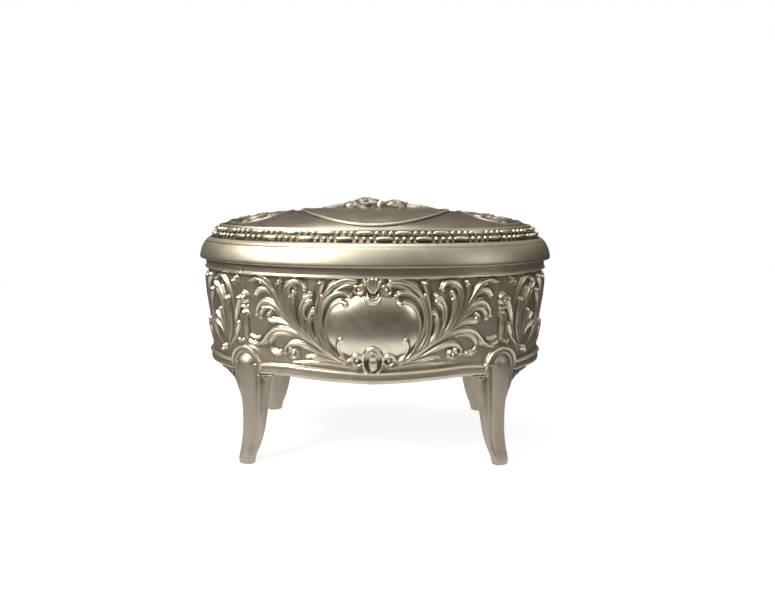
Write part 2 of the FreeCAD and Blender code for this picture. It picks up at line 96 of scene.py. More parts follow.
class Relief:
    """A height map in millimetres that tools are pressed into, each keeping the higher surface."""

    def __init__(self, left, right, low, high, grain=GRAIN):
        self.left, self.low, self.grain = left, low, grain
        self.height = np.zeros((round((high - low) / grain) + 1, round((right - left) / grain) + 1))
        self.u = left + np.arange(self.height.shape[1]) * grain
        self.v = low + np.arange(self.height.shape[0]) * grain

    def window(self, u, v, radius):
        rows, columns = self.height.shape
        j0 = max(int((u - radius - self.left) / self.grain), 0)
        j1 = min(int((u + radius - self.left) / self.grain) + 2, columns)
        i0 = max(int((v - radius - self.low) / self.grain), 0)
        i1 = min(int((v + radius - self.low) / self.grain) + 2, rows)
        return slice(i0, i1), slice(j0, j1)

    def press(self, u, v, radius, height, power=0.65):
        """One touch of a round tool."""
        area = self.window(u, v, radius)
        du = self.u[area[1]][None, :] - u
        dv = self.v[area[0]][:, None] - v
        if not du.size or not dv.size:
            return
        share = np.clip(1.0 - (du * du + dv * dv) / (radius * radius), 0.0, 1.0)
        np.maximum(self.height[area], height * share**power, out=self.height[area])

    def ridge(self, points, widths, heights, power=0.65):
        """A smooth ridge through points; widths and heights are spread evenly from end to end."""
        line = smooth_line(points, self.grain * 1.5)
        share = np.linspace(0.0, 1.0, len(line))
        radius = np.interp(share, np.linspace(0, 1, len(widths)), widths)
        rise = np.interp(share, np.linspace(0, 1, len(heights)), heights)
        for (u, v), r, top in zip(line, radius, rise):
            self.press(u, v, r, top, power)

    def groove(self, points, width, depth):
        """A fine tooled line that follows points, fading at both ends."""
        line = smooth_line(points, self.grain * 1.5)
        cut = np.zeros_like(self.height)
        for (u, v), share in zip(line, np.linspace(0.0, 1.0, len(line))):
            area = self.window(u, v, width * 2)
            du = self.u[area[1]][None, :] - u
            dv = self.v[area[0]][:, None] - v
            if not du.size or not dv.size:
                continue
            fall = depth * math.sin(math.pi * share) ** 0.5 * np.exp(-(du * du + dv * dv) / (width * width))
            np.maximum(cut[area], fall, out=cut[area])
        self.height = np.maximum(self.height - cut, 0.0)

    def at(self, u, v):
        """Height between the cells, by straight interpolation."""
        rows, columns = self.height.shape
        x = np.clip((np.asarray(u) - self.left) / self.grain, 0, columns - 1.001)
        y = np.clip((np.asarray(v) - self.low) / self.grain, 0, rows - 1.001)
        j, i = x.astype(int), y.astype(int)
        fx, fy = x - j, y - i
        low = self.height[i, j] * (1 - fx) + self.height[i, j + 1] * fx
        high = self.height[i + 1, j] * (1 - fx) + self.height[i + 1, j + 1] * fx
        return low * (1 - fy) + high * fy


def smooth_line(points, step):
    """Points at even steps on a Catmull-Rom curve through the ones given."""
    p = np.array(points, dtype=float)
    p = np.vstack([2 * p[0] - p[1], p, 2 * p[-1] - p[-2]])
    pieces = []
    for a, b, c, d in zip(p[:-3], p[1:-2], p[2:-1], p[3:]):
        n = max(int(np.linalg.norm(c - b) / step), 2)
        t = np.linspace(0.0, 1.0, n, endpoint=False)[:, None]
        pieces.append(
            0.5 * (2 * b + (c - a) * t + (2 * a - 5 * b + 4 * c - d) * t**2 + (3 * b - a - 3 * c + d) * t**3)
        )
    return np.vstack(pieces + [p[-2:-1]])


def spiral(centre, radius, turns, start, hand=1, shrink=0.25):
    """Points that wind inwards from radius to shrink times radius."""
    share = np.linspace(0.0, 1.0, int(10 * turns) + 6)
    angle = math.radians(start) + hand * share * turns * 2 * math.pi
    r = radius * (1 - (1 - shrink) * share)
    return np.column_stack([centre[0] + r * np.cos(angle), centre[1] + r * np.sin(angle)])


def softened(height, cells):
    """The map blurred by a square brush, three times over."""
    out = height.copy()
    for _ in range(3):
        for axis in (0, 1):
            first, last = (np.repeat(out.take([end], axis), cells, axis) for end in (0, -1))
            padded = np.concatenate([first, out, last], axis)
            total = np.cumsum(np.insert(padded, 0, 0.0, axis=axis), axis=axis)
            n = out.shape[axis]
            span = 2 * cells + 1
            upper = total.take(range(span, span + n), axis)
            out = (upper - total.take(range(n), axis)) / span
    return out


def hollows(height, cells):
    """How deep each cell lies below its surroundings, from 0 to 1, which sets the patina and painted shade in
    recesses; crests come out below 0.
    """
    return np.clip((softened(height, cells) - height) / HOLLOW_DEPTH, -1.0, 1.0)


def both_sides(half):
    """A line through the middle, from the half of it on the right."""
    return [(-u, v) for u, v in half[:0:-1]] + list(half)


# A quarter of the wall, from the middle of the front round to the middle of the end. u is the
# distance along the wall and v the height; the other three quarters are its mirror images.
OVERLAP = 3.0  # the map runs on this far past both ends, for the mirroring
wall = Relief(-OVERLAP, QUARTER + OVERLAP, LEG_HEIGHT, RIM_HEIGHT)

# The frame of the boss: three strands in a C, springing from the volute beside the shell.
STRANDS = [
    [(5, 58), (7.5, 58.1), (10.3, 57.2), (12.3, 55.6), (13.7, 53.9), (14.8, 51.3), (15.5, 48.3),
     (15.7, 45), (15.3, 42), (14.2, 39.4), (12.6, 37.2), (10.2, 35.2), (8, 34)],
    [(6.6, 53.8), (8, 54.6), (10, 54.6), (12, 53.6), (13.6, 51.7), (14.6, 49.2), (14.9, 46.5),
     (14.7, 43.8), (14, 41), (12.8, 38.6), (11, 36.3), (8.8, 34.9)],
    [(7.8, 51.8), (9, 52.2), (10.6, 51.6), (12.2, 50.2), (13.3, 48), (13.8, 45.5), (13.7, 43),
     (13.1, 40.5), (12, 38.2), (10.4, 36.2)],
]
STRAND_SIZES = [((0.95, 0.85, 0.5, 0.4, 0.45), 1.3), ((0.6, 0.5, 0.4, 0.4), 1.15),
                ((0.55, 0.45, 0.38, 0.35), 1.0)]
for line, (widths, height) in zip(STRANDS, STRAND_SIZES):
    wall.ridge(line, widths, (height, height, height * 0.9, height * 0.7))
wall.groove([(5.6, 58.0), (8.0, 58.0), (10.6, 56.9), (12.6, 55.1), (14.0, 52.8)], 0.22, 0.45)
wall.ridge([(4.6, 56.6), (6.6, 56.9), (8.8, 56.2), (10.9, 54.9), (12.6, 53.2)],
           (0.5, 0.45, 0.3), (1.0, 0.9, 0.5))
for tip in ((6.5, 53.8), (7.7, 51.7)):
    wall.press(*tip, 0.8, 1.25)

# Acanthus: leaves that fan up and outwards from the foot of the boss. Each leaf is a line from
# its root to its tip, its half width at the root, belly and tip, and its height.
LEAVES = [
    ([(8.5, 34.3), (11, 35.6), (13.3, 37.3), (15.3, 39.4), (16.4, 42), (16.9, 45.5), (16.6, 49),
     (15.9, 52.5), (15.3, 55.3), (14.8, 57.2)], (0.25, 0.4, 0.42, 0.55, 1), 1.5),
    ([(9, 34.2), (13, 36.9), (15.8, 39.2), (17.6, 41.2), (18.6, 43.4), (18.9, 46), (18.3, 48), (17.3, 49)],
     (0.3, 0.5, 0.6, 0.85), 1.5),
    ([(9.5, 34.1), (14, 37.3), (17, 39.8), (19.1, 42), (20.5, 44.7), (21.2, 47.6), (21, 50.4),
     (19.9, 52.6), (18.3, 53.5)], (0.3, 0.55, 0.7, 0.9), 1.45),
    ([(19.8, 46.2), (20.5, 48.2), (20.2, 50.2), (19.1, 51.6), (18.2, 52)], (0.3, 0.5, 0.7), 1.3),
    ([(10, 34.1), (15, 37.6), (18.5, 40.4), (21.6, 43.4), (23.8, 46.4), (25.2, 49.5), (25.8, 52.5),
     (25.6, 55.2), (24.4, 57), (22.3, 57.7), (20.6, 57), (19.9, 55.4)], (0.3, 0.6, 0.8, 1.15, 0.75), 1.55),
    ([(17.5, 39.5), (20.2, 42), (22.2, 44.8), (23.5, 47.6), (24.1, 50.3), (23.9, 52.7), (22.9, 54.6)],
     (0.3, 0.5, 0.6, 0.75), 1.35),
    ([(22, 43.3), (24.6, 46.4), (26.2, 49.2), (27.3, 51.8), (28.1, 54.2), (28.2, 56.3), (27.5, 57.4)],
     (0.3, 0.45, 0.6, 0.7), 1.3),
    ([(19, 40.4), (22.5, 43.6), (25, 46.3), (27.2, 49.4), (29, 52.4), (30.6, 55), (32.6, 57), (35.2, 57.7),
     (37.6, 57)], (0.3, 0.55, 0.8, 0.95, 0.45), 1.5),
    ([(27.6, 49.5), (29.6, 52.2), (31.3, 54.2), (33.3, 55), (35, 54.5), (35.8, 53.2)],
     (0.3, 0.7, 0.8, 0.7), 1.4),
    ([(18, 39.3), (21.5, 42.3), (24.5, 45.1), (27, 47.8), (29.3, 50.2), (31.7, 51.3), (33.8, 50.8),
     (35.1, 49), (35.6, 46.9)], (0.3, 0.55, 0.85, 0.85, 0.55), 1.5),
    ([(25, 45), (28, 47.6), (30.8, 49.3), (33, 49.1), (34.2, 47.7), (34.5, 46.1)], (0.3, 0.5, 0.6, 0.5),
     1.2),
    ([(17, 38.8), (20, 41.3), (23, 43.6), (26, 45), (28.6, 45.4), (30.6, 45.4), (31.7, 46.2), (31.6, 47.4),
     (30.8, 47.9)], (0.3, 0.5, 0.7, 0.75, 0.55), 1.35),
    ([(13, 36.4), (16.5, 38.6), (19.5, 40.5), (22.5, 42.1), (25.5, 43.1), (28.3, 43.2), (30.8, 42.3),
     (32.4, 40.8), (33.7, 39.1), (35.4, 38), (37.2, 37.5)], (0.3, 0.55, 0.8, 0.7, 0.5), 1.35),
    ([(24.5, 41.6), (27.5, 41.9), (29.8, 41.2), (31.3, 39.6), (31.6, 37.8), (30.7, 36.3), (29.2, 35.7),
     (28, 36.2)], (0.3, 0.6, 0.7, 0.6, 0.6), 1.3),
    ([(11, 34.9), (14.5, 36.1), (17.5, 37.6), (20.3, 38.9), (22.6, 39.4), (24.6, 39), (26, 37.8),
     (26.2, 36.2)], (0.3, 0.55, 0.9, 0.8, 0.5), 1.45),
    ([(10, 33.9), (13, 34.5), (15.5, 35.1), (17.6, 35.6), (19.6, 35.2)], (0.3, 0.4, 0.75, 0.35), 1.15),
    ([(5, 32.7), (8, 33.2), (12, 33.7), (16, 33.9), (20, 33.6), (24, 33)], (0.7, 0.6, 0.4, 0.2), 0.9),
    ([(35, 40.2), (36.6, 39.7), (38.3, 40.4)], (0.35, 0.6, 0.35), 1.1),
]


def carve_leaf(relief, line, widths, height):
    """A slender stem that swells to a fat, rounded tip; a broad leaf has a finer rib beside it."""
    slender = [0.8 * width for width in widths[:-1]] + [1.05 * widths[-1]]
    relief.ridge(line, slender, (height * 0.35, height * 0.6, height * 0.8, height, height))
    if max(widths) < 0.7:
        return
    path = smooth_line(line, 1.0)
    along = np.gradient(path, axis=0)
    along /= np.linalg.norm(along, axis=1, keepdims=True)
    bend = np.sign(np.sum(along[:-1, 0] * along[1:, 1] - along[:-1, 1] * along[1:, 0]))
    share = np.linspace(0.0, 1.0, len(path))[:, None]
    beside = path + bend * (0.9 * max(widths) + 0.25) * share * np.column_stack([-along[:, 1], along[:, 0]])
    tops = (height * 0.25, height * 0.5, height * 0.75)
    relief.ridge(beside[: int(0.88 * len(path))], (0.2, 0.3, 0.42), tops)


for line, widths, height in LEAVES:
    carve_leaf(wall, line, widths, height)

# Fine tooled veins along the broad leaves.
for vein in (
    [(21.9, 43.6), (24.4, 47.0), (25.6, 51.0), (25.5, 54.8), (24.2, 56.7), (22.4, 57.3), (21.0, 56.8)],
    [(25.0, 46.0), (28.2, 50.9), (30.8, 54.8), (32.8, 56.7), (35.2, 57.3), (36.9, 56.8)],
    [(24.5, 44.8), (27.2, 47.6), (29.6, 50.0), (31.7, 51.0), (33.6, 50.4), (34.8, 48.6)],
    [(20.0, 40.5), (23.5, 42.2), (27.0, 43.0), (30.0, 42.3), (32.0, 40.7)],
    [(18.0, 37.6), (20.8, 38.8), (23.2, 39.1), (25.2, 38.3)],
    [(20.2, 44.5), (20.9, 47.6), (20.6, 50.2), (19.5, 52.3)],
):
    wall.groove(vein, 0.2, 0.4)

# Volutes with a pearl in the middle: beside the shell, beside the lower jewel and in the scroll.
VOLUTES = [((3.9, 55.6), 1.6, 120, 1), ((4.6, 34.9), 1.85, 20, 1), ((23.5, 36.2), 1.5, 60, -1)]
for centre, radius, start, hand in VOLUTES:
    wall.ridge(spiral(centre, radius, 1.4, start, hand, 0.55), (0.5, 0.42, 0.38), (1.45, 1.4, 1.2))
    wall.press(*centre, radius * 0.42, 1.6)
wall.ridge([(5.6, 36.4), (6.3, 35.2), (7.4, 34.7), (8.8, 35.8), (9.8, 37.7), (9.9, 39.7), (9.2, 41.1)],
           (0.45, 0.45, 0.5, 0.7), (1.2, 1.1, 1.0, 1.1))

# Shell above the boss and ringed jewel below it, both on the middle line.
for flute in (-1.9, -0.95, 0.0, 0.95, 1.9):
    wall.ridge([(flute * 0.3, 54.6), (flute * 0.85, 56.8), (flute * 1.12, 58.7 - 0.2 * flute * flute)],
               (0.3, 0.5, 0.66), (1.2, 1.8, 1.9))
for width, top in ((3.1, 59.7), (2.5, 51.9)):
    bow = 1 if top > 55 else -1
    arch = [(0.0, top), (width * 0.6, top - bow * 0.5), (width, top - bow * 1.9)]
    wall.ridge(both_sides(arch), (0.35, 0.45, 0.35), (1.0, 1.2, 1.0))
wall.ridge(both_sides([(0.0, 52.8), (1.1, 53.2), (1.7, 54.4)]), (0.35, 0.4, 0.35), (1.2, 1.3, 1.2))
turn = np.linspace(0, 2 * math.pi, 25)
wall.ridge(np.column_stack([2.75 * np.sin(turn), 34.9 - 3.9 * np.cos(turn)]), (0.42, 0.42), (1.5, 1.5))
wall.ridge([(0.0, 33.2), (0.0, 34.6), (0.0, 35.6)], (1.55, 1.7, 1.3), (1.35, 1.5, 1.0), 0.6)
wall.ridge(both_sides([(0.0, 37.6), (0.7, 37.3), (1.3, 36.4)]), (0.3, 0.4, 0.3), (1.1, 1.3, 1.1))

# Corner column: a knob, beads and a tassel over the joint.
wall.ridge(spiral((CORNER_RUN, 51.4), 1.7, 1.2, 90, 1), (0.55, 0.45, 0.35), (1.4, 1.3, 1.1))
wall.press(CORNER_RUN, 51.4, 0.8, 1.55)
for offset in (-0.95, 0.0, 0.95):
    wall.press(CORNER_RUN + offset, 48.9 - 0.15 * (1 - abs(offset)), 0.5, 1.2)
wall.ridge([(CORNER_RUN, z) for z in (46.9, 43.5, 39.6)], (1.2, 1.0, 0.6), (1.4, 1.2, 0.6))
TASSEL_CORD = [(0.0, 47.7), (1.2, 47.2), (1.9, 45.4), (2.1, 42.5), (2.6, 39.2)]
TASSEL_FOOT = [(1.2, 38.6), (2.4, 38.0), (3.6, 38.6)]
for side in (-1, 1):
    for line, widths, tops in ((TASSEL_CORD, (0.28, 0.24, 0.2), (0.8, 0.6, 0.4)),
                               (TASSEL_FOOT, (0.4, 0.55, 0.3), (0.8, 1.0, 0.7))):
        wall.ridge([(CORNER_RUN + side * x, z) for x, z in line], widths, tops)

# End panels: a tall scroll that rises from the corner, with lobes inside its curl, and a palmette.
END_LEAVES = [
    ([(49, 34.6), (46.6, 38), (45.6, 42), (45.4, 46.5), (45.9, 50.5), (47, 54), (48.9, 56.8), (51.3, 57.5),
     (53.6, 56.6), (54.4, 54.8)], (0.25, 0.4, 0.5, 0.7, 0.6), 1.35),
    ([(49.6, 35.6), (47.8, 40), (47, 44), (47, 47.8), (47.7, 50.6)], (0.25, 0.4, 0.5, 1), 1.55),
    ([(49.8, 37), (48.9, 42), (48.8, 46.5), (49.5, 50.5), (51.2, 53.6)], (0.25, 0.4, 0.5, 1), 1.55),
    ([(50.2, 38), (50.2, 43), (51, 48), (52.6, 52.5), (54.6, 55.9)], (0.25, 0.4, 0.5, 0.95), 1.5),
    ([(50.2, 38.5), (50.3, 42), (50.9, 44.8), (51.6, 47)], (0.25, 0.4, 0.9), 1.5),
    ([(50.6, 38.5), (51.4, 41.8), (52.8, 44.2), (54.2, 45.5)], (0.25, 0.4, 0.9), 1.5),
    ([(50.8, 37.8), (52.2, 40.2), (54, 41.8), (55.7, 42.4)], (0.25, 0.4, 0.85), 1.4),
    ([(49, 36.2), (46.8, 38), (45.3, 41.2), (44.4, 45), (43.3, 48.6), (42.4, 51.2)],
     (0.25, 0.4, 0.5, 0.95), 1.5),
    ([(47.4, 37), (45.4, 39), (44, 41.6), (43.2, 43.6)], (0.25, 0.45, 0.7), 1.2),
    ([(51.5, 35.6), (54.8, 37.2), (57.4, 40.4), (58.8, 44.6), (58.8, 48.8), (57.6, 52.4)],
     (0.3, 0.45, 0.55, 0.95), 1.5),
    ([(53.5, 36.2), (57.2, 38), (60.2, 41.4), (61.8, 46), (61.8, 50.8), (60.6, 54.6), (58.6, 56.8)],
     (0.3, 0.45, 0.6, 0.95), 1.5),
    ([(56, 36.4), (60.2, 38.4), (63.2, 41.8), (64.8, 46.6), (65, 51.6), (64, 56)], (0.3, 0.45, 0.6, 0.9),
     1.45),
    ([(55, 35), (59.4, 35.6), (62.8, 36.8), (65.2, 39), (65.2, 41.4), (63.6, 42)], (0.3, 0.55, 0.7, 0.7),
     1.35),
    ([(42.6, 56), (43.4, 57.3)], (0.45, 0.7), 1.2),
    ([(44.2, 54.8), (44.9, 56.3)], (0.4, 0.55), 1),
]
for line, widths, height in END_LEAVES:
    tops = (height * 0.2, height * 0.35, height * 0.45, height * 0.9, height)
    wall.ridge(line, (*widths[:-1], 1.15 * widths[-1]), tops, 0.8)
wall.groove([(45.6, 43.0), (45.5, 47.0), (46.1, 51.0), (47.4, 54.4), (49.4, 56.7), (51.4, 57.2)], 0.18, 0.35)
for u, v, radius, height in ((50.8, 35.2, 1.05, 1.6), (52.5, 33.9, 0.55, 1.0), (52.9, 53.9, 0.8, 1.4)):
    wall.press(u, v, radius, height)
for flute in (-3.9, -2.6, -1.3, 0.0, 1.3, 2.6, 3.9):
    tip = 56.6 - 0.17 * flute * flute
    wall.ridge([(QUARTER + flute * 0.2, 42.5), (QUARTER + flute * 0.8, 49.0), (QUARTER + flute * 1.1, tip)],
               (0.3, 0.6, 0.85), (0.9, 1.3, 1.5))
for side in (-1, 1):
    wall.ridge(spiral((QUARTER + side * 2.5, 39.4), 1.8, 1.2, 90, side), (0.55, 0.45, 0.3), (1.3, 1.2, 1.0))
    wall.press(QUARTER + side * 2.5, 39.4, 0.7, 1.4)
wall.press(QUARTER, 35.4, 1.5, 1.5)
wall.ridge(spiral((QUARTER, 35.4), 2.2, 1.0, 0, 1, 1.0), (0.35, 0.35), (1.0, 1.0))

# Mirror the relief about the middle of the front and the middle of the end, keeping the higher.
u_grid, v_grid = np.meshgrid(wall.u, wall.v)
for mirrored, near in ((-u_grid, u_grid < OVERLAP), (2 * QUARTER - u_grid, u_grid > QUARTER - OVERLAP)):
    wall.height = np.maximum(wall.height, wall.at(mirrored, v_grid) * near)
SCROLL_HEIGHT = 0.88  # the scrolls are worn down to this share of their height
wall.height = SCROLL_HEIGHT * softened(wall.height, 1)

# The plain boss is a low dome, and the apron, fillet and rim band are plain mouldings.
BOSS_HALF_LENGTH, BOSS_HALF_HEIGHT, BOSS_MIDDLE, BOSS_PROUD = 13.7, 9.5, 44.5, 2.75
BOSS_SQUARENESS = 2.3  # 2 would be an ellipse
BOSS_FULLNESS = 0.7  # 1 would be a parabola in section
boss_share = (np.abs(u_grid / BOSS_HALF_LENGTH) ** BOSS_SQUARENESS
              + np.abs((v_grid - BOSS_MIDDLE) / BOSS_HALF_HEIGHT) ** BOSS_SQUARENESS)
boss = BOSS_PROUD * np.clip(1.0 - boss_share, 0.0, 1.0) ** BOSS_FULLNESS
scroll_share = (np.clip((v_grid - APRON_TOP - 0.2) / 0.5, 0, 1)
                * np.clip((PANEL_TOP + 0.8 - v_grid) / 0.5, 0, 1))
wall.height *= scroll_share
MOULDINGS = [
    (28.1, 0.35), (28.25, 0.55), (28.6, 0.75), (29.2, 0.82), (30.2, 0.62), (30.8, 0.6), (31.05, 1),
    (31.3, 1.1), (31.55, 0.95), (31.8, 0.1), (58.45, 0), (58.65, 0.55), (58.85, 0.95), (59.1, 1.08),
    (59.35, 0.95), (59.5, 0.62), (61.5, 0.58), (61.65, 0.5), (61.8, 0.35),
]
moulding = np.interp(wall.v, *zip(*MOULDINGS))[:, None] + 0 * wall.u[None, :]
ripple = 0.03 * np.sin(0.31 * u_grid + 0.8) + 0.02 * np.sin(0.83 * u_grid + 0.5 * v_grid)
moulding += ripple * np.clip((v_grid - 59.6) / 0.4, 0.0, 1.0)
BOSS_UNDER_SCROLL = 0.9  # the boss is set back to this share of its height
SCROLL_ON_BOSS = 0.45  # a scroll loses this share of its height where it lies on the boss
on_boss = BOSS_UNDER_SCROLL * boss + wall.height * (1 - SCROLL_ON_BOSS * boss / BOSS_PROUD)
wall.height = np.maximum(moulding, on_boss)
# How hollow the wall lies at each point: patina and painted shade in the relief's recesses; the boss and band
# are rubbed bright instead.
wall_hollow = Relief(-OVERLAP, QUARTER + OVERLAP, LEG_HEIGHT, RIM_HEIGHT)
wall_hollow.height = hollows(wall.height, 7)
BOSS_RUBBED, BAND_RUBBED, BAND_FROM = -0.45, -0.12, 59.5
rubbed = (np.where((boss > 0.25) & (wall.height < boss + 0.1), BOSS_RUBBED, 0.0)
          + np.where(v_grid > BAND_FROM, BAND_RUBBED, 0.0))
wall_hollow.height = np.where(rubbed < 0, rubbed, wall_hollow.height)


def new_object(name, data):
    """An object in the scene for a mesh, a lamp or a camera."""
    made = bpy.data.objects.new(name, data)
    bpy.context.scene.collection.objects.link(made)
    return made


def smoothed(mesh, hollow=None):
    """Smooth faces, with how hollow each point lies kept on the mesh for the patina and painted shade."""
    if hollow is not None:
        layer = mesh.attributes.new("hollow", "FLOAT", "POINT")
        layer.data.foreach_set("value", np.asarray(hollow, dtype=np.float32).ravel())
    mesh.polygons.foreach_set("use_smooth", [True] * len(mesh.polygons))
    return mesh


def closed_mesh(name, rings, cap_ends, hollow=None):
    """A mesh through rings of points (ring, point, xyz) in mm. Rings are closed; the ends are capped."""
    rings = np.asarray(rings)
    count, around = rings.shape[:2]
    index = np.arange(count * around).reshape(count, around)
    a, b = index[:-1], index[1:]
    if cap_ends is None:
        a, b = index, np.roll(index, -1, 0)
    quads = np.stack([a, b, np.roll(b, -1, 1), np.roll(a, -1, 1)], -1).reshape(-1, 4)
    faces = quads.tolist()
    if cap_ends:
        faces += [index[0].tolist(), index[-1][::-1].tolist()]
    mesh = bpy.data.meshes.new(name)
    mesh.from_pydata((rings.reshape(-1, 3) * MM).tolist(), [], faces)
    mesh.validate()
    return new_object(name, smoothed(mesh, hollow))


def oval_point(angle, inset):
    """Where an oval, inset from the lid's edge, is at an angle measured from the front."""
    return (LID_HALF_LENGTH - inset) * np.sin(angle), -(LID_HALF_WIDTH - inset) * np.cos(angle)


FLOOR_BASE = 29.9
LEDGE = 1.2
WALL_STEP = 0.18  # spacing of the mesh along the wall
SEAM = 0.16  # depth and half width of the fine line where two panels meet
heights = np.unique(np.concatenate([np.linspace(LEG_HEIGHT, RIM_HEIGHT, 158), [m[0] for m in MOULDINGS]]))


def wall_panel(name, run_from, run_to):
    """One casting: relief outside, plain inside, with the ledge that carries the floor."""
    run = np.linspace(run_from, run_to, int((run_to - run_from) / WALL_STEP))
    quarter = np.abs((run + QUARTER) % (2 * QUARTER) - QUARTER)
    angle = np.interp(quarter, quarter_run, quarter_angle)
    middle = np.round(run / (2 * QUARTER)) * math.pi
    angle = middle + np.sign(run - np.round(run / (2 * QUARTER)) * 2 * QUARTER) * angle
    q, z = np.meshgrid(quarter, heights, indexing="ij")
    proud = wall.at(q, z)
    joint = np.minimum(run - run_from, run_to - run)[:, None]
    proud = proud - SEAM * np.exp(-((joint / SEAM) ** 2))
    x, y = oval_point(angle[:, None], ground_inset(z) - proud)
    outside = np.stack([x, y, z + apron_rise(q, z)], -1)
    inner_z = np.array([RIM_HEIGHT, RIM_HEIGHT - 0.3, FLOOR_BASE, FLOOR_BASE, LEG_HEIGHT])
    extra = np.array([-0.25, 0.0, 0.0, LEDGE, LEDGE])
    ix, iy = oval_point(angle[:, None], (ground_inset(inner_z) + WALL_THICKNESS + extra)[None, :])
    inner_rise = np.interp(quarter, *zip(*APRON_RISE))[:, None] * (inner_z == LEG_HEIGHT)
    inside = np.stack([ix, iy, inner_z + inner_rise], -1)
    hollow = np.concatenate([wall_hollow.at(q, z), np.full(ix.shape, 0.3)], 1)
    return closed_mesh(name, np.concatenate([outside, inside], 1), True, hollow)


front_panel = wall_panel("front_panel_cast", -CORNER_RUN, CORNER_RUN)
right_panel = wall_panel("right_panel_cast", CORNER_RUN, 2 * QUARTER - CORNER_RUN)
back_panel = wall_panel("back_panel_cast", 2 * QUARTER - CORNER_RUN, 2 * QUARTER + CORNER_RUN)
left_panel = wall_panel("left_panel_cast", -2 * QUARTER + CORNER_RUN, -CORNER_RUN)


SOCKETS = {float: "NodeSocketFloat", int: "NodeSocketInt", type(None): "NodeSocketMaterial"}


def new_group(name, inputs, outputs, kind="ShaderNodeTree", out_kind="NodeSocketFloat"):
    """An empty node group with named inputs and their defaults, and named outputs."""
    group = bpy.data.node_groups.new(name, kind)
    for label, value in inputs.items():
        socket = group.interface.new_socket(label, in_out="INPUT", socket_type=SOCKETS[type(value)])
        if value is not None:
            socket.default_value = value
    for label in outputs:
        group.interface.new_socket(label, in_out="OUTPUT", socket_type=out_kind)
    return group, group.nodes.new("NodeGroupInput").outputs, group.nodes.new("NodeGroupOutput")


def feed(tree, made, inputs):
    """Set each input of a node to a plain value, or link it to the socket that feeds it."""
    for key, value in inputs.items():
        if isinstance(value, bpy.types.NodeSocket):
            tree.links.new(value, made.inputs[key])
        else:
            made.inputs[key].default_value = value


def node(tree, kind, inputs=None, **settings):
    """A new node with its settings and inputs; gives its outputs."""
    made = tree.nodes.new(kind)
    for name, value in settings.items():
        setattr(made, name, value)
    feed(tree, made, inputs or {})
    return made.outputs


def noise(tree, scale, detail=3.0, stretch=(1.0, 1.0, 1.0)):
    """Noise in the object's own space, at a number of grains to the metre."""
    place = node(tree, "ShaderNodeTexCoord")["Object"]
    fitted = node(tree, "ShaderNodeMapping", {"Vector": place, "Scale": stretch})["Vector"]
    return node(tree, "ShaderNodeTexNoise", {"Vector": fitted, "Scale": scale, "Detail": detail})["Fac"]


def maths(tree, operation, *values):
    """A Math node; each value is a number or a socket."""
    return node(tree, "ShaderNodeMath", dict(enumerate(values)), operation=operation)[0]


def spread(tree, value, low, high, to_low=0.0, to_high=1.0):
    """A value mapped smoothly from one range to another."""
    ends = {"Value": value, "From Min": low, "From Max": high, "To Min": to_low, "To Max": to_high}
    return node(tree, "ShaderNodeMapRange", ends, interpolation_type="SMOOTHSTEP")["Result"]


def patina_and_shade_group():
    """Where the dark patina and the painted shade lie: in the hollows that polishing misses, broken up by
    noise.
    """
    inputs = {"Hollow": 0.0, "Amount": 1.0, "Blotches": 0.3}
    group, given, result = new_group("patina_and_shade", inputs, ["Mask", "Crest"])
    cloud = maths(group, "SUBTRACT", noise(group, 160.0, 4.0), 0.5)
    fleck = maths(group, "SUBTRACT", noise(group, 1400.0, 3.0), 0.5)
    uneven = maths(group, "MULTIPLY", maths(group, "ADD", cloud, fleck), given["Blotches"])
    level = maths(group, "ADD", given["Hollow"], uneven)
    mask = maths(group, "MULTIPLY", spread(group, level, -0.05, 0.75), given["Amount"])
    crest = spread(group, maths(group, "MULTIPLY", level, -1.0), 0.05, 0.6)
    feed(group, result, {"Mask": mask, "Crest": crest})
    return group


def skin_group():
    """The skin of a cast and plated surface: faint waves, a fine grain and a few sharp pits."""
    inputs = {"Waves": 0.5, "Grain": 0.3, "Pits": 0.5}
    group, given, result = new_group("cast skin", inputs, ["Height", "Pit"])
    waves = maths(group, "MULTIPLY", noise(group, 220.0, 2.0), given["Waves"])
    grain = maths(group, "MULTIPLY", noise(group, 3200.0, 2.0), given["Grain"])
    place = node(group, "ShaderNodeTexCoord")["Object"]
    cells = node(group, "ShaderNodeTexVoronoi", {"Vector": place, "Scale": 420.0, "Randomness": 1.0})
    few = spread(group, noise(group, 260.0, 2.0), 0.56, 0.7)
    pit = maths(group, "MULTIPLY", spread(group, cells["Distance"], 0.16, 0.05), few)
    depth = maths(group, "MULTIPLY", pit, given["Pits"])
    height = maths(group, "SUBTRACT", maths(group, "ADD", waves, grain), depth)
    feed(group, result, {"Height": height, "Pit": pit})
    return group


PATINA_AND_SHADE = patina_and_shade_group()
CAST_SKIN = skin_group()


def mixed(tree, share, a, b):
    """One colour into another by a share; each is a colour or a socket."""
    a, b = ((*value, 1.0) if isinstance(value, tuple) else value for value in (a, b))
    return node(tree, "ShaderNodeMix", {"Factor": share, 6: a, 7: b}, data_type="RGBA")[2]


def darker(colour, share):
    """A colour brought down to a share of itself."""
    return tuple(share * c for c in colour)


def new_material(name):
    """A material, with its nodes and its shader."""
    material = bpy.data.materials.new(name)
    material.use_nodes = True
    return material, material.node_tree, material.node_tree.nodes["Principled BSDF"]


def bump(tree, height, strength, distance):
    """A bumped normal; the distance is in metres."""
    inputs = {"Strength": strength, "Distance": distance, "Height": height}
    return node(tree, "ShaderNodeBump", inputs)["Normal"]


LEAST_ROUGH = 0.13
CREST_POLISH = 0.12  # how much smoother a rubbed crest is


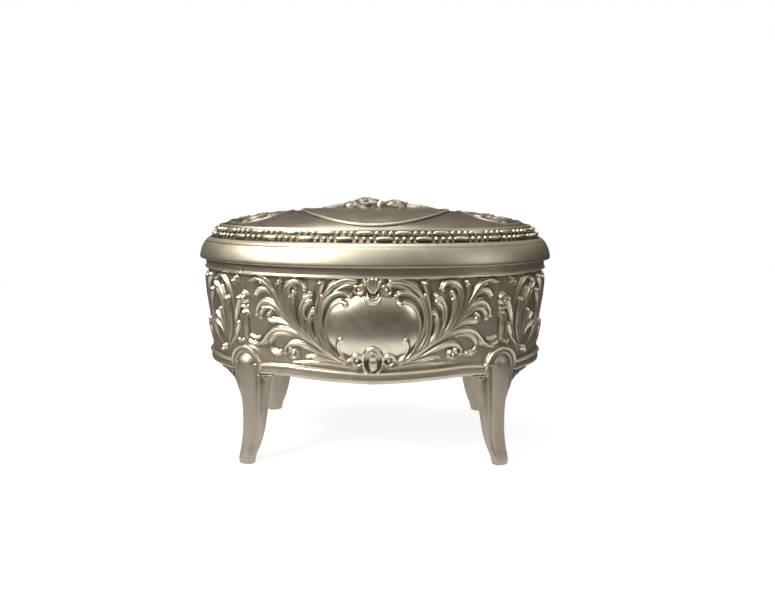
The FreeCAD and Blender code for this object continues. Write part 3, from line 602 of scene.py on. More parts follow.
def plated(name, metal, bright, dark, rough_hollow, rough_open, patina_and_shade=0.9, blotches=0.35, grain=0.3,
           pits=0.6):
    """Silver-nickel plate over cast white metal: bright where it is rubbed, dark with patina and painted
    shade in its hollows.
    """
    material, tree, shader = new_material(name)
    depth = node(tree, "ShaderNodeAttribute", attribute_name="hollow")["Fac"]
    patina_and_shade_node = node(tree, "ShaderNodeGroup", node_tree=PATINA_AND_SHADE,
               inputs={"Hollow": depth, "Amount": patina_and_shade, "Blotches": blotches})
    skin = node(tree, "ShaderNodeGroup", node_tree=CAST_SKIN,
                inputs={"Waves": 0.5, "Grain": grain, "Pits": pits})
    tone = mixed(tree, spread(tree, noise(tree, 45.0, 3.0), 0.35, 0.65), metal, darker(metal, 0.9))
    # The hollows take the dark patina and the painted shade; the crests are rubbed bright.
    patinated_and_shaded = mixed(tree, patina_and_shade_node["Mask"], mixed(tree, patina_and_shade_node["Crest"], tone, bright), dark)
    uneven = maths(tree, "MULTIPLY", maths(tree, "SUBTRACT", noise(tree, 380.0, 3.0), 0.5), 0.14)
    rough = maths(tree, "ADD", spread(tree, patina_and_shade_node["Mask"], 0.0, 1.0, rough_open, rough_hollow), uneven)
    smooth = maths(tree, "SUBTRACT", rough, maths(tree, "MULTIPLY", patina_and_shade_node["Crest"], CREST_POLISH))
    feed(tree, shader, {
        "Base Color": mixed(tree, skin["Pit"], patinated_and_shaded, darker(metal, 0.25)),
        "Metallic": 1.0,
        "Roughness": maths(tree, "MAXIMUM", smooth, LEAST_ROUGH),
        "Normal": bump(tree, skin["Height"], 0.35, 0.0001),
    })
    return material


WALL_PLATE = plated("wall plate", (0.52, 0.465, 0.36), (0.67, 0.61, 0.485), (0.23, 0.19, 0.138), 0.27, 0.42,
                    patina_and_shade=0.7, blotches=0.5)
for piece, kept in ((front_panel, "front_panel"), (back_panel, "back_panel"), (left_panel, "left_panel"),
                    (right_panel, "right_panel")):
    piece.data.materials.append(WALL_PLATE)
    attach(piece, "box")
    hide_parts(kept)

# -------------------- legs
# Four cast cabriole legs: a rounded shaft with a thin wing each side that carries on the wall's
# curve, a hoof at the floor, and a knee boss under an arch that laps the joint of two panels.
# Each is soldered under the corner; widths run along the wall and depths stand out from it.

WING_TO_FRONT = [
    (0, 2.5), (2, 2.8), (6, 3.5), (11, 4.5), (17, 5.9), (22.6, 7), (26, 7.8), (27.4, 8.6),
    (LEG_HEIGHT, 10.4),
]
WING_TO_END = [
    (0, 2.5), (2, 2.8), (6, 2.9), (13, 3.1), (20, 3.8), (24.4, 5.4), (26.8, 8.2), (27.6, 10.6),
    (LEG_HEIGHT, 13.5),
]
SHAFT_HALF_WIDTH = [
    (0, 2.2), (1, 2.55), (2.6, 2.6), (5, 2.55), (9, 2.65), (14, 2.9), (20, 3.2), (28, 3.55), (32, 3.6),
]
SHAFT_SET_OUT = [
    (0, 1.7), (2.5, 1.25), (5, 0.65), (8, 0.05), (12, -0.5), (18, -0.8), (25, -0.55), (31.1, -0.1),
]
WING_THICKNESS = 2.6
WING_PROUD = 0.85
SHAFT_SHARE = 0.6  # of the points across a leg lie on its shaft
KNEE_HEIGHT = 31.2
ARCH_MIDDLE = 31.1
ARCH_RADIUS = 6.0
FOOT_HEIGHT = 6.0
SHAFT_DEPTH = 0.78  # of the shaft's half width
SHAFT_SQUARENESS, SHAFT_FULLNESS = 2.4, 0.55
ARCH_BACK, ARCH_DEPTH, ARCH_EDGE = -0.3, 1.15, 0.35
# The crease above the hoof is painted shade: a dark line at this height and slope, this wide and this dark.
CREASE_HEIGHT, CREASE_SLOPE, CREASE_WIDTH, CREASE_SHADE = 3.2, 0.8, 0.8, 0.16
WING_DARK = 0.35


def along_leg(profile, z):
    """A size on the leg at a height, on a smooth curve through the profile's points."""
    curve = smooth_line(profile, 0.25)
    return float(np.interp(z, curve[:, 0], curve[:, 1]))


ARCH_ROPE = [(0.0, 36.7), (2.4, 36.2), (4.4, 34.6), (5.5, 32.2), (5.9, 29.9), (6.6, 28.0), (7.7, 26.8)]
SHAFT_EDGE = [(0.0, 35.5), (2.0, 35.1), (3.6, 33.7), (4.5, 31.6), (4.7, 29.2), (4.5, 26.5), (4.1, 22.0),
              (3.6, 16.0), (3.2, 10.0)]
leg_relief = Relief(-13.6, 13.6, 0.0, 37.6)
for side in (-1, 1):
    for line, widths, tops, power in ((ARCH_ROPE, (0.55, 0.5, 0.35), (0.85, 0.8, 0.25), 0.65),
                                      (SHAFT_EDGE, (0.6, 0.6, 0.4), (0.4, 0.3, 0.05), 1.0)):
        leg_relief.ridge([(side * w, z) for w, z in line], widths, tops, power)
leg_relief.height = softened(leg_relief.height, 1)
leg_w, leg_z = leg_relief.u[None, :], leg_relief.v[:, None]
# How hollow each point of a leg lies, for the patina and painted shade; the crease line is painted shade and
# the wings are made darker.
leg_hollow = Relief(-13.6, 13.6, 0.0, 37.6)
crease = (leg_z - CREASE_HEIGHT + CREASE_SLOPE * leg_w) / CREASE_WIDTH
leg_hollow.height = hollows(leg_relief.height, 5) + CREASE_SHADE * np.exp(-(crease**2)) * (leg_z < FOOT_HEIGHT)
leg_hollow.height += WING_DARK * np.clip((np.abs(leg_w) - 3.6) / 2.0, 0, 1) * (leg_z < LEG_HEIGHT)
def leg(name, side_x, side_y):
    """One leg, made at the front right corner and mirrored to its own."""
    legs_z = np.concatenate([np.array([0.0, 0.12, 0.3, 0.6, 1.0]), np.linspace(1.4, LEG_HEIGHT, 88)])
    arch_z = np.concatenate([np.linspace(LEG_HEIGHT, 36.6, 34), [36.85, 37.0, 37.08]])
    across = np.sin(np.linspace(-math.pi / 2, math.pi / 2, 101))
    rings, hollow = [], []
    for z, on_wall in [(z, False) for z in legs_z] + [(z, True) for z in arch_z]:
        shaft = along_leg(SHAFT_HALF_WIDTH, min(z, KNEE_HEIGHT))
        middle = along_leg(SHAFT_SET_OUT, z) + ground_inset(z) - ground_inset(LEG_HEIGHT)
        if z > KNEE_HEIGHT:
            shaft = math.sqrt(max(shaft * shaft - (z - KNEE_HEIGHT) ** 2, 0.0))
        arch = math.sqrt(max(ARCH_RADIUS**2 - (z - ARCH_MIDDLE) ** 2, 0.0))
        reach = [arch if on_wall else max(along_leg(side, z), shaft) for side in (WING_TO_FRONT, WING_TO_END)]
        half = np.where(across < 0, *reach)
        band = shaft if z <= KNEE_HEIGHT else np.maximum(shaft, 0.45 * half)
        band = np.minimum(band, 0.75 * half)
        inner = np.clip(np.abs(across) / SHAFT_SHARE, 0.0, 1.0)
        outer = np.clip((np.abs(across) - SHAFT_SHARE) / (1 - SHAFT_SHARE), 0.0, 1.0)
        w = np.sign(across) * (band * inner + (half - band) * outer)
        if not on_wall and z < 0.6:
            w = w * (1 - 0.1 * (1 - z / 0.6) ** 2)
        join = min(max((z - 3.0) / 9.0, 0.0), 1.0)
        plate_middle = middle * (1 - join) + (WING_PROUD - WING_THICKNESS / 2) * join
        from_edge = np.clip(half - np.abs(w), 0.0, WING_THICKNESS / 2)
        plate = np.sqrt(np.maximum((WING_THICKNESS / 2) ** 2 - (WING_THICKNESS / 2 - from_edge) ** 2, 0.0))
        front, back = plate_middle + plate, plate_middle - plate
        if on_wall:
            front = ARCH_BACK + ARCH_DEPTH * np.clip(from_edge / ARCH_EDGE, 0, 1) ** 0.5
            back = np.full_like(w, ARCH_BACK)
        round_share = np.clip(1 - np.abs(w / max(shaft, 0.01)) ** SHAFT_SQUARENESS, 0.0, 1.0)
        depth = SHAFT_DEPTH * shaft * round_share**SHAFT_FULLNESS
        on_shaft = np.abs(w) < shaft
        front = np.where(on_shaft, np.maximum(front, middle + depth), front)
        if not on_wall:
            back = np.where(on_shaft, np.minimum(back, middle - depth), back)
        outline = front + leg_relief.at(w, z) * (from_edge > 0.12)
        quarter = CORNER_RUN + w
        angle = np.interp(quarter, quarter_run, quarter_angle)
        fx, fy = oval_point(angle, ground_inset(z) - outline)
        bx, by = oval_point(angle, ground_inset(z) - back)
        up = z + apron_rise(quarter, z) * min(max((z - 20.0) / 8.0, 0.0), 1.0)
        ring = np.vstack([np.column_stack([fx, fy, up]), np.column_stack([bx, by, up])[::-1][1:-1]])
        rings.append(ring * (side_x, -side_y, 1))
        hollow.append(np.concatenate([leg_hollow.at(w, z), np.full(len(ring) - len(w), 0.2)]))
    if side_x * -side_y < 0:
        rings = [ring[::-1] for ring in rings]
        hollow = [values[::-1] for values in hollow]
    made = closed_mesh(name, rings, True, hollow)
    # Where the shaft runs on past the top of the wings, two rings have the same points there.
    work = bmesh.new()
    work.from_mesh(made.data)
    bmesh.ops.remove_doubles(work, verts=work.verts, dist=0.000002)
    work.to_mesh(made.data)
    work.free()
    return made


legs = {}
for end, side_y in (("front", -1), ("back", 1)):
    for hand, side_x in (("left", -1), ("right", 1)):
        legs[f"leg_{end}_{hand}"] = leg(f"leg_{end}_{hand}_cast", side_x, side_y)
LEG_PLATE = plated("leg plate", (0.40, 0.352, 0.288), (0.66, 0.595, 0.50), (0.15, 0.125, 0.095), 0.29, 0.46,
                   grain=0.8)
for kept, piece in legs.items():
    piece.data.materials.append(LEG_PLATE)
    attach(piece, "box")
    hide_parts(kept)

# -------------------- lid
# A hollow casting: a smooth ovolo edge, a channel for the beading, a ridge and a low dome with
# two oval reserves of leafy scrolls. It is let down on the rim and turns on the hinge at the back.

LID_BASE = 61.9
LID_LAND = 4.9
LID_CARD_TOP = 65.1
DOME_HEIGHT = 15.8
DOME_BULGE = 7.5
DOME_HALF_LENGTH, DOME_HALF_WIDTH = 52.53, 31.52
FIELD_INSET = 7.5
FIELD_TARNISH = 0.5  # the dome is never rubbed, so it stays duller than the edge
# Tarnish and painted shade in the fine line at the top of the ovolo, in the bead channel under the beads and
# behind the ridge.
TARNISH_AND_SHADE = [(1.85, 2.1, 0.5), (3.4, 6.4, 0.8), (7.1, 9.0, 0.55)]  # inset from, inset to, how dark
LID_PROFILE = [
    (0.35, 0), (0.1, 0.12), (0, 0.35), (0, 0.85), (0.08, 1.35), (0.29, 2.1), (0.53, 2.95), (0.86, 3.75),
    (1.29, 4.6), (1.68, 5.22), (1.9, 5.42), (2.06, 5.44), (2.2, 5.72), (2.5, 6.08), (2.8, 6.32),
    (3.2, 6.56), (3.45, 6.66), (3.52, 6.45), (3.66, 6.45), (3.74, 6.72), (3.95, 6.8), (4.6, 7.35),
    (5.2, 8.25), (5.8, 9), (6.2, 9.5), (6.38, 9.75), (6.42, 10.05), (6.5, 10.35), (6.66, 10.58),
    (6.9, 10.66), (7.1, 10.6), (7.24, 10.42), (7.36, 10.4), (FIELD_INSET, 10.5),
]


def dome_height(x, y):
    """Height of the lid's plain dome over a point."""
    share = np.clip(1 - (x / DOME_HALF_LENGTH) ** 2 - (y / DOME_HALF_WIDTH) ** 2, 0.0, 1.0)
    return LID_BASE + DOME_HEIGHT - DOME_BULGE + DOME_BULGE * np.sqrt(share)


# One oval reserve at the right of the dome: a raised rim round leafy scrolls. The left is its mirror.
RESERVE_MIDDLE, RESERVE_HALF_WIDTH, RESERVE_HALF_HEIGHT = 37.3, 9.9, 16.8
RESERVE_LEAF_SIZE = 0.88
RESERVE_FROM, RESERVE_TO = 23.5, 50.0
reserve = Relief(23.0, 50.5, -20.5, 20.5, 0.12)
turn = np.linspace(0.0, 2 * math.pi, 41)
for share, thick, height in ((1.0, 0.5, 0.5), (0.9, 0.3, 0.25)):
    x = RESERVE_MIDDLE + share * RESERVE_HALF_WIDTH * np.cos(turn)
    y = share * RESERVE_HALF_HEIGHT * np.sin(turn)
    reserve.ridge(np.column_stack([x, y]), (thick, thick), (height, height))
RESERVE_LEAVES = [
    ([(0, 0), (2.2, 2.6), (2.6, 6), (0.8, 9), (-2, 10.2), (-4.6, 9), (-5.4, 6.4), (-4, 4.6)],
     (0.5, 1.1, 1.2, 0.9, 0.8), 1.5),
    ([(-0.5, 1), (-1, 4), (-2.6, 6.2)], (0.4, 0.9, 0.7), 1.3),
    ([(1, 1.5), (4.4, 3), (6.6, 6), (6.6, 9.2), (4.6, 11.2)], (0.4, 0.9, 1, 0.7), 1.4),
    ([(0, 9.6), (2, 12), (1.4, 14.4), (-0.8, 14.8)], (0.4, 0.8, 0.9, 0.7), 1.3),
    ([(-3.5, 9.9), (-3, 12.2), (-4, 13.8)], (0.3, 0.7, 0.6), 1.1),
    ([(1.2, 0.6), (4.6, 0.8), (7.4, 2.2), (8.4, 4.4)], (0.4, 0.8, 0.6), 1.2),
    ([(-1, 0.6), (-4.4, 1.4), (-7.4, 1), (-8.6, -0.4)], (0.4, 0.9, 0.7), 1.3),
]
for line, widths, height in RESERVE_LEAVES:
    for side in (-1, 1):
        points = [(RESERVE_MIDDLE + side * RESERVE_LEAF_SIZE * x, side * y) for x, y in line]
        reserve.ridge(points, widths, (height * 0.3, height * 0.55, height * 0.6))
        reserve.groove(points, 0.22, 0.3)
for petal in range(8):
    around = petal * math.pi / 4 + 0.3
    reserve.press(RESERVE_MIDDLE + 1.5 * math.cos(around), 1.5 * math.sin(around), 0.85, 0.8)
reserve.press(RESERVE_MIDDLE, 0.0, 0.9, 1.0)
reserve.height = softened(reserve.height, 1)
inside_reserve = (((reserve.u[None, :] - RESERVE_MIDDLE) / RESERVE_HALF_WIDTH) ** 2
                  + (reserve.v[:, None] / RESERVE_HALF_HEIGHT) ** 2)
reserve.height = reserve.height - 0.3 * np.clip((0.97 - inside_reserve) / 0.06, 0, 1)
reserve_hollow = Relief(23.0, 50.5, -20.5, 20.5, 0.12)
reserve_hollow.height = hollows(reserve.height, 6)

def add_ring(stack, x, y, z, hollow):
    """Put one more ring of points on a stack, with how hollow each one lies."""
    stack.append((np.column_stack([x, y, z + 0 * x]), hollow + 0 * x))


around = np.linspace(0.0, 2 * math.pi, 720, endpoint=False)
lid_stack = []
for inset, height in LID_PROFILE:
    dark = next((dark for low, high, dark in TARNISH_AND_SHADE if low < inset < high), 0.0)
    add_ring(lid_stack, *oval_point(around, inset), LID_BASE + height, dark)
for scale in np.concatenate([np.linspace(0.995, 0.44, 74), np.linspace(0.40, 0.03, 9)]):
    x, y = (scale * edge for edge in oval_point(around, FIELD_INSET))
    near = (np.abs(x) > RESERVE_FROM) & (np.abs(x) < RESERVE_TO)
    rise = np.where(near, reserve.at(np.abs(x), y), 0.0)
    # The dome's tarnish, with patina and painted shade in the reserves' hollows.
    dark = FIELD_TARNISH + np.where(near, 0.5 * reserve_hollow.at(np.abs(x), y), 0.0)
    add_ring(lid_stack, x, y, dome_height(x, y) + rise, dark)
lid_stack.reverse()
LID_UNDERSIDE = [(0.9, 0.0), (4.4, 0.0), (LID_LAND - 0.15, 0.05), (LID_LAND, 0.2),
                 (LID_LAND, LID_CARD_TOP - LID_BASE)]
for inset, height in LID_UNDERSIDE:
    add_ring(lid_stack, *oval_point(around, inset), LID_BASE + height, 0.1)
LID_THICKNESS = 1.6
for scale in (0.97, 0.8, 0.5, 0.2, 0.03):
    x, y = (scale * edge for edge in oval_point(around, FIELD_INSET))
    add_ring(lid_stack, x, y, dome_height(x, y) - LID_THICKNESS, 0.3)
lid_rings, lid_hollow = zip(*lid_stack)
lid_shell = closed_mesh("lid_casting", lid_rings, True, lid_hollow)
LID_EDGE_PLATE = plated("lid plate", (0.46, 0.42, 0.325), (0.72, 0.67, 0.54), (0.12, 0.10, 0.07), 0.29, 0.44)
lid_shell.data.materials.append(LID_EDGE_PLATE)
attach(lid_shell, "lid")
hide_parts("lid_shell")

# -------------------- beading
# Two rows of beads and bars in the lid's channel, cast with it: three beads, then one short bar.
# The upper row stands half a repeat round from the lower one.

BEAD_STEPS = 22  # steps along one repeat
BEADS_AT, BAR_AT = (2, 6, 10), 17
BEAD_RADIUS, BAR_LENGTH = 0.72, 5.0
BEAD_RUBBED = -0.35
BEADING_ROWS = [("lower", 4.6, 7.75, 24, 11), ("upper", 5.75, 9.3, 24, 0)]  # inset, height, repeats, shift


def beading_tree():
    """Points on an oval that each take a bead or a bar, by their place in the repeat."""
    inputs = {"Half Length": 0.05, "Half Width": 0.03, "Height": 0.07, "Repeats": 24, "Shift": 0,
              "Bead Radius": 0.00075, "Bar Length": 0.0052, "Material": None}
    tree, given, result = new_group("beads and bars", inputs, ["Geometry"], "GeometryNodeTree",
                                    "NodeSocketGeometry")

    def add(kind, inputs=None, **settings):
        return node(tree, kind, inputs, **settings)

    def whole(operation, a, b):
        return add("FunctionNodeIntegerMath", {0: a, 1: b}, operation=operation)[0]

    def same(a, number):
        return add("FunctionNodeCompare", {2: a, 3: number}, data_type="INT", operation="EQUAL")[0]

    def vector(x, y, z):
        return add("ShaderNodeCombineXYZ", {0: x, 1: y, 2: z})[0]

    circle = add("GeometryNodeCurvePrimitiveCircle", {"Resolution": 720, "Radius": 1.0})[0]
    oval = add("GeometryNodeTransform", {
        "Geometry": circle, "Scale": vector(given["Half Length"], given["Half Width"], 1.0),
        "Translation": vector(0.0, 0.0, given["Height"])})[0]
    count = whole("MULTIPLY", given["Repeats"], BEAD_STEPS)
    evenly = add("GeometryNodeResampleCurve", {"Curve": oval, "Count": count})[0]
    points = add("GeometryNodeCurveToPoints", {"Curve": evenly}, mode="EVALUATED")
    step = whole("MODULO", whole("ADD", add("GeometryNodeInputIndex")[0], given["Shift"]), BEAD_STEPS)
    on_bead = same(step, BEADS_AT[0])
    for number in BEADS_AT[1:]:
        on_bead = add("FunctionNodeBooleanMath", {0: on_bead, 1: same(step, number)}, operation="OR")[0]
    bead = add("GeometryNodeMeshIcoSphere", {"Subdivisions": 2, "Radius": given["Bead Radius"]})["Mesh"]
    # A bar is a ball whose ends are filled out, then drawn out to the bar's length.
    ball = add("GeometryNodeMeshUVSphere", {"Segments": 10, "Rings": 8, "Radius": 1.0})["Mesh"]
    place = add("GeometryNodeInputPosition")[0]
    flat = add("ShaderNodeSeparateXYZ", {0: place})
    across = add("ShaderNodeVectorMath", {0: vector(flat["X"], flat["Y"], 0.0)}, operation="LENGTH")["Value"]
    wider = maths(tree, "POWER", maths(tree, "MAXIMUM", across, 0.001), -0.5)
    filled = add("ShaderNodeVectorMath", {0: place, 1: vector(wider, wider, 1.0)}, operation="MULTIPLY")[0]
    plump = add("GeometryNodeSetPosition", {"Geometry": ball, "Position": filled})[0]
    half = maths(tree, "MULTIPLY", given["Bar Length"], 0.5)
    size = vector(given["Bead Radius"], given["Bead Radius"], half)
    bar = add("GeometryNodeTransform", {"Geometry": plump, "Scale": size})[0]
    joined = tree.nodes.new("GeometryNodeJoinGeometry")
    for chosen, shape in ((same(step, BAR_AT), bar), (on_bead, bead)):
        copies = add("GeometryNodeInstanceOnPoints", {
            "Points": points["Points"], "Selection": chosen, "Instance": shape,
            "Rotation": points["Rotation"]})
        tree.links.new(copies[0], joined.inputs[0])
    real = add("GeometryNodeRealizeInstances", {0: joined.outputs[0]})[0]
    dressed = add("GeometryNodeSetMaterial", {"Geometry": real, "Material": given["Material"]})[0]
    feed(tree, result, {0: dressed})
    return tree


def baked(piece):
    """The mesh that a piece's modifiers make of it."""
    return bpy.data.meshes.new_from_object(piece.evaluated_get(bpy.context.evaluated_depsgraph_get()))


BEADING = beading_tree()
row_pieces = []
for label, inset, height, repeats, shift in BEADING_ROWS:
    row = new_object(f"bead_row_{label}", bpy.data.meshes.new(f"bead_row_{label}"))
    modifier = row.modifiers.new("beads and bars", "NODES")
    modifier.node_group = BEADING
    sizes = {"Half Length": (LID_HALF_LENGTH - inset) * MM, "Half Width": (LID_HALF_WIDTH - inset) * MM,
             "Height": (LID_BASE + height) * MM, "Repeats": repeats, "Shift": shift,
             "Bead Radius": BEAD_RADIUS * MM, "Bar Length": BAR_LENGTH * MM, "Material": LID_EDGE_PLATE}
    for socket in BEADING.interface.items_tree:
        if socket.in_out == "INPUT":
            modifier[socket.identifier] = sizes[socket.name]
    plain = baked(row)
    row.modifiers.clear()
    row.data = smoothed(plain, np.full(len(plain.vertices), BEAD_RUBBED))
    row_pieces.append(row)

for row in row_pieces:
    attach(row, "lid")

# -------------------- plaque
# An oval medallion with a raised rim and a spray of roses and leaves in high relief. It is cast
# apart from the lid, bent to the dome and soldered down.

PLAQUE_HALF_LENGTH, PLAQUE_HALF_WIDTH = 24.1, 29.4  # along the lid and across it
PLAQUE_BASE = 0.15
PLAQUE_FACE = 0.35
PLAQUE_CREST = 81.4

spray = Relief(-25.0, 25.0, -30.0, 30.0, 0.125)
SPRAY_LEAVES = [
    ([(-2, 0), (-7, 2.6), (-12.5, 3.2), (-18, 1.2)], 2.3, 1.5),
    ([(-3, 2), (-7, 7), (-11, 12), (-12.5, 17.5)], 2.3, 1.4),
    ([(-1, 4), (-1.5, 10), (0.5, 16), (3.5, 21)], 2.3, 1.4),
    ([(2, 2), (7, 6.5), (11.5, 10), (15.5, 14.5)], 2.3, 1.4),
    ([(3, -1), (9, -0.5), (14, 1), (19, -0.5)], 2.2, 1.35),
    ([(-3, -3), (-8, -5.5), (-12, -9.5), (-15.5, -14)], 2.2, 1.4),
    ([(2, -7), (6.5, -12), (8.5, -17), (7.5, -22)], 2.2, 1.35),
    ([(-2, -6), (-4.5, -12), (-4.5, -18), (-2.5, -23.5)], 2.2, 1.4),
    ([(5, 11), (7.5, 15.5), (9.5, 21)], 1.6, 1.3),
    ([(-6, 5), (-12, 8.5), (-18, 9.5)], 1.7, 1.3),
    ([(8, -7), (13, -9.5), (19.5, -9.5)], 1.7, 1.3),
    ([(8, 8), (13.5, 7.5), (19.5, 8.5)], 1.6, 1.2),
]


def placed(points):
    """The spray lies on the far two thirds of the plaque, so that the near part is plain."""
    return [(x, 0.72 * y + 5.5) for x, y in points]


for line, width, height in SPRAY_LEAVES:
    line = placed(line)
    tops = (height * 0.7, height, height, height * 0.8, 0.5)
    spray.ridge(line, (0.5, width * 0.9, width, width * 0.7, 0.3), tops, 0.8)
    spray.groove(line, 0.28, 0.55)
    middle = smooth_line(line, 1.6)
    for (x, y), (next_x, next_y) in zip(middle[2:-2], middle[3:-1]):
        along = Vector((next_x - x, next_y - y)).normalized()
        for side in (-1, 1):
            end = (x + 1.1 * along.x - side * 1.6 * along.y, y + 1.1 * along.y + side * 1.6 * along.x)
            spray.groove([(x, y), end], 0.16, 0.22)


def rose(x, y, radius, height):
    """An open rose: three rings of lapping petals round a tight bud."""
    def on_ring(distance, angle):
        return x + distance * radius * math.cos(angle), y + distance * radius * math.sin(angle)

    for ring, petals, tall in ((0.68, 6, 0.62), (0.42, 5, 0.82), (0.18, 3, 0.97)):
        for petal in range(petals):
            angle = 2 * math.pi * (petal + ring * 3) / petals
            spray.press(*on_ring(ring, angle), radius * 0.42, height * tall, 0.5)
            edge = [on_ring(ring + 0.26, angle + turned) for turned in (-0.55, -0.25, 0.0, 0.25, 0.55)]
            spray.ridge(edge, (0.3, 0.5, 0.3), (height * tall * 0.85, height * tall, height * tall * 0.85))
            fold = [on_ring(ring + 0.05, angle + turned + 0.6) for turned in (-0.6, 0.0, 0.6)]
            spray.groove(fold, 0.3, 0.6)
    spray.ridge(spiral((x, y), radius * 0.2, 1.3, 40, 1), (0.35, 0.3), (height, height))


ROSES = [(-3.0, 0.5, 6.2, 3.4), (6.5, -6.5, 4.4, 2.6), (-7.5, -8.5, 3.4, 2.1), (4.8, 9.0, 4.0, 2.3)]
for x, y, radius, height in ROSES:
    (x, y), = placed([(x, y)])
    rose(x, y, radius, height)
for x, y in placed([(-9.0, 3.0), (10.0, 1.5), (1.5, -11.0)]):
    spray.press(x, y, 1.4, 2.2, 0.6)
spray.height = softened(spray.height, 1)
spray_u, spray_v = np.meshgrid(spray.u, spray.v)
rim_share = np.hypot(spray_u / PLAQUE_HALF_LENGTH, spray_v / PLAQUE_HALF_WIDTH)
to_rim = (1 - rim_share) * 26.5
PLAQUE_EDGE = [(-1.0, 0.0), (0.0, 0.0), (0.12, 0.18), (0.4, 0.28), (0.75, 0.25), (1.05, 0.0), (60.0, 0.0)]
plain_edge = np.clip((to_rim - 2.3) / 1.0, 0, 1)
spray.height = np.maximum(spray.height * plain_edge, np.interp(to_rim, *zip(*PLAQUE_EDGE)))
spray_hollow = Relief(-25.0, 25.0, -30.0, 30.0, 0.125)
spray_hollow.height = hollows(spray.height, 7)

around = np.linspace(0.0, 2 * math.pi, 540, endpoint=False)
plaque_stack = []


def plaque_point(share):
    """A ring of points at a share of the way from the plaque's middle to its edge."""
    return share * PLAQUE_HALF_LENGTH * np.sin(around), -share * PLAQUE_HALF_WIDTH * np.cos(around)


for share in np.concatenate([np.linspace(0.012, 0.9, 118), np.linspace(0.905, 1.0, 22)]):
    x, y = plaque_point(share)
    top = np.minimum(dome_height(x, y) + PLAQUE_FACE + spray.at(x, y), PLAQUE_CREST)
    # Tarnish on the face, with patina and painted shade in the spray's hollows.
    add_ring(plaque_stack, x, y, top, 0.7 * FIELD_TARNISH * (share < 0.96) + 0.8 * spray_hollow.at(x, y))
for share in (1.0, 0.9, 0.5, 0.02):
    x, y = plaque_point(share)
    add_ring(plaque_stack, x, y, dome_height(x, y) - PLAQUE_BASE, 0.4)
plaque_rings, plaque_hollow = zip(*plaque_stack)
plaque = closed_mesh("plaque_cast", plaque_rings, True, plaque_hollow)
PLAQUE_PLATE = plated("plaque plate", (0.34, 0.31, 0.235), (0.80, 0.75, 0.62), (0.10, 0.085, 0.06), 0.30, 0.5)
plaque.data.materials.append(PLAQUE_PLATE)
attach(plaque, "lid")
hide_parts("plaque")

# -------------------- lining
# A strip of card faced with burgundy velvet, bent round the inside of the wall and glued. Its
# top edge is turned over and stops short of the rim.

LINING_SET_IN = 2.0
LINING_THICKNESS = 1.6


def velvet(name, colour, worn):
    """Short cut pile: dark when looked into, pale where it is brushed over."""
    material, tree, shader = new_material(name)
    nap = spread(tree, noise(tree, 60.0, 2.0), 0.25, 0.8)
    pile = noise(tree, 5200.0, 2.0)
    shade = mixed(tree, spread(tree, pile, 0.3, 0.7), colour, darker(colour, 0.6))
    feed(tree, shader, {
        "Base Color": mixed(tree, nap, shade, worn), "Roughness": 0.95, "Sheen Weight": 0.22,
        "Sheen Roughness": 0.35, "Sheen Tint": (0.95, 0.55, 0.62, 1.0),
        "Normal": bump(tree, pile, 0.5, 0.0002)})
    return material


VELVET = velvet("burgundy velvet", (0.13, 0.009, 0.022), (0.165, 0.013, 0.03))
lining_low, lining_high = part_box("wall_lining")
lining_base, lining_top = lining_low.z / MM, lining_high.z / MM
around = np.linspace(0.0, 2 * math.pi, 540, endpoint=False)
section = [(0.0, lining_base), (0.0, lining_top - 0.5), (0.35, lining_top - 0.1), (0.8, lining_top),
           (1.25, lining_top - 0.1)]
section += [(LINING_THICKNESS, z) for z in np.linspace(lining_top - 0.55, lining_base, 26)]
lining_rings = []
for depth, z in section:
    slack = 0.05 * np.sin(11 * around + 0.35 * z) * (0.5 + 0.5 * np.sin(4 * around))
    ease = slack if depth == LINING_THICKNESS else 0.0
    x, y = oval_point(around, ground_inset(z) + LINING_SET_IN + depth + ease)
    lining_rings.append(np.column_stack([x, y, z + 0 * x]))
lining = closed_mesh("velvet_wall_lining", lining_rings[::-1], None)
lining.data.materials.append(VELVET)
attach(lining, "box")
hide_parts("wall_lining")

# -------------------- pads
# Two velvet pads over thin wadding: one on the floor card, one under the lid's card. The velvet
# is turned round the card's edge, so that each pad is crowned and falls away at its rim.

PAD_SCALE = 6.0  # the cloth is worked at this size and brought back down
PAD_BLANK = 0.985  # the blank's share of the space that it fills
THIN_VOXEL, THICK_VOXEL = 0.0048, 0.007
PRESSURE, CLOTH_FRAMES = 4.0, 20
MOST_SWOLLEN = 0.009
PAD_FILLS = 0.995  # the finished pad's share of its space
EDGE_THICKNESS = 0.25  # of the pad's thickness, where it falls away

def pad_blank(name, low, high):
    """A plain oval cushion with a rounded edge, a little smaller than the space it fills."""
    middle, half = (low + high) / 2, (high - low) / 2
    rings, count = [], 96
    angle = np.linspace(0.0, 2 * math.pi, count, endpoint=False)
    for turned in np.linspace(-math.pi / 2, math.pi / 2, 9):
        inward = half.z * 0.9 * (1 - math.cos(turned))
        x = (half.x * PAD_BLANK - inward) * np.sin(angle)
        y = -(half.y * PAD_BLANK - inward) * np.cos(angle)
        rings.append(np.column_stack([x, y, np.full(count, half.z * 0.7 * math.sin(turned))]))
    blank = closed_mesh(name, np.array(rings) * PAD_SCALE / MM, True)
    return blank, middle, half

def corners_of(mesh):
    """The points of a mesh as rows of three."""
    found = np.empty(len(mesh.vertices) * 3)
    mesh.vertices.foreach_get("co", found)
    return found.reshape(-1, 3)


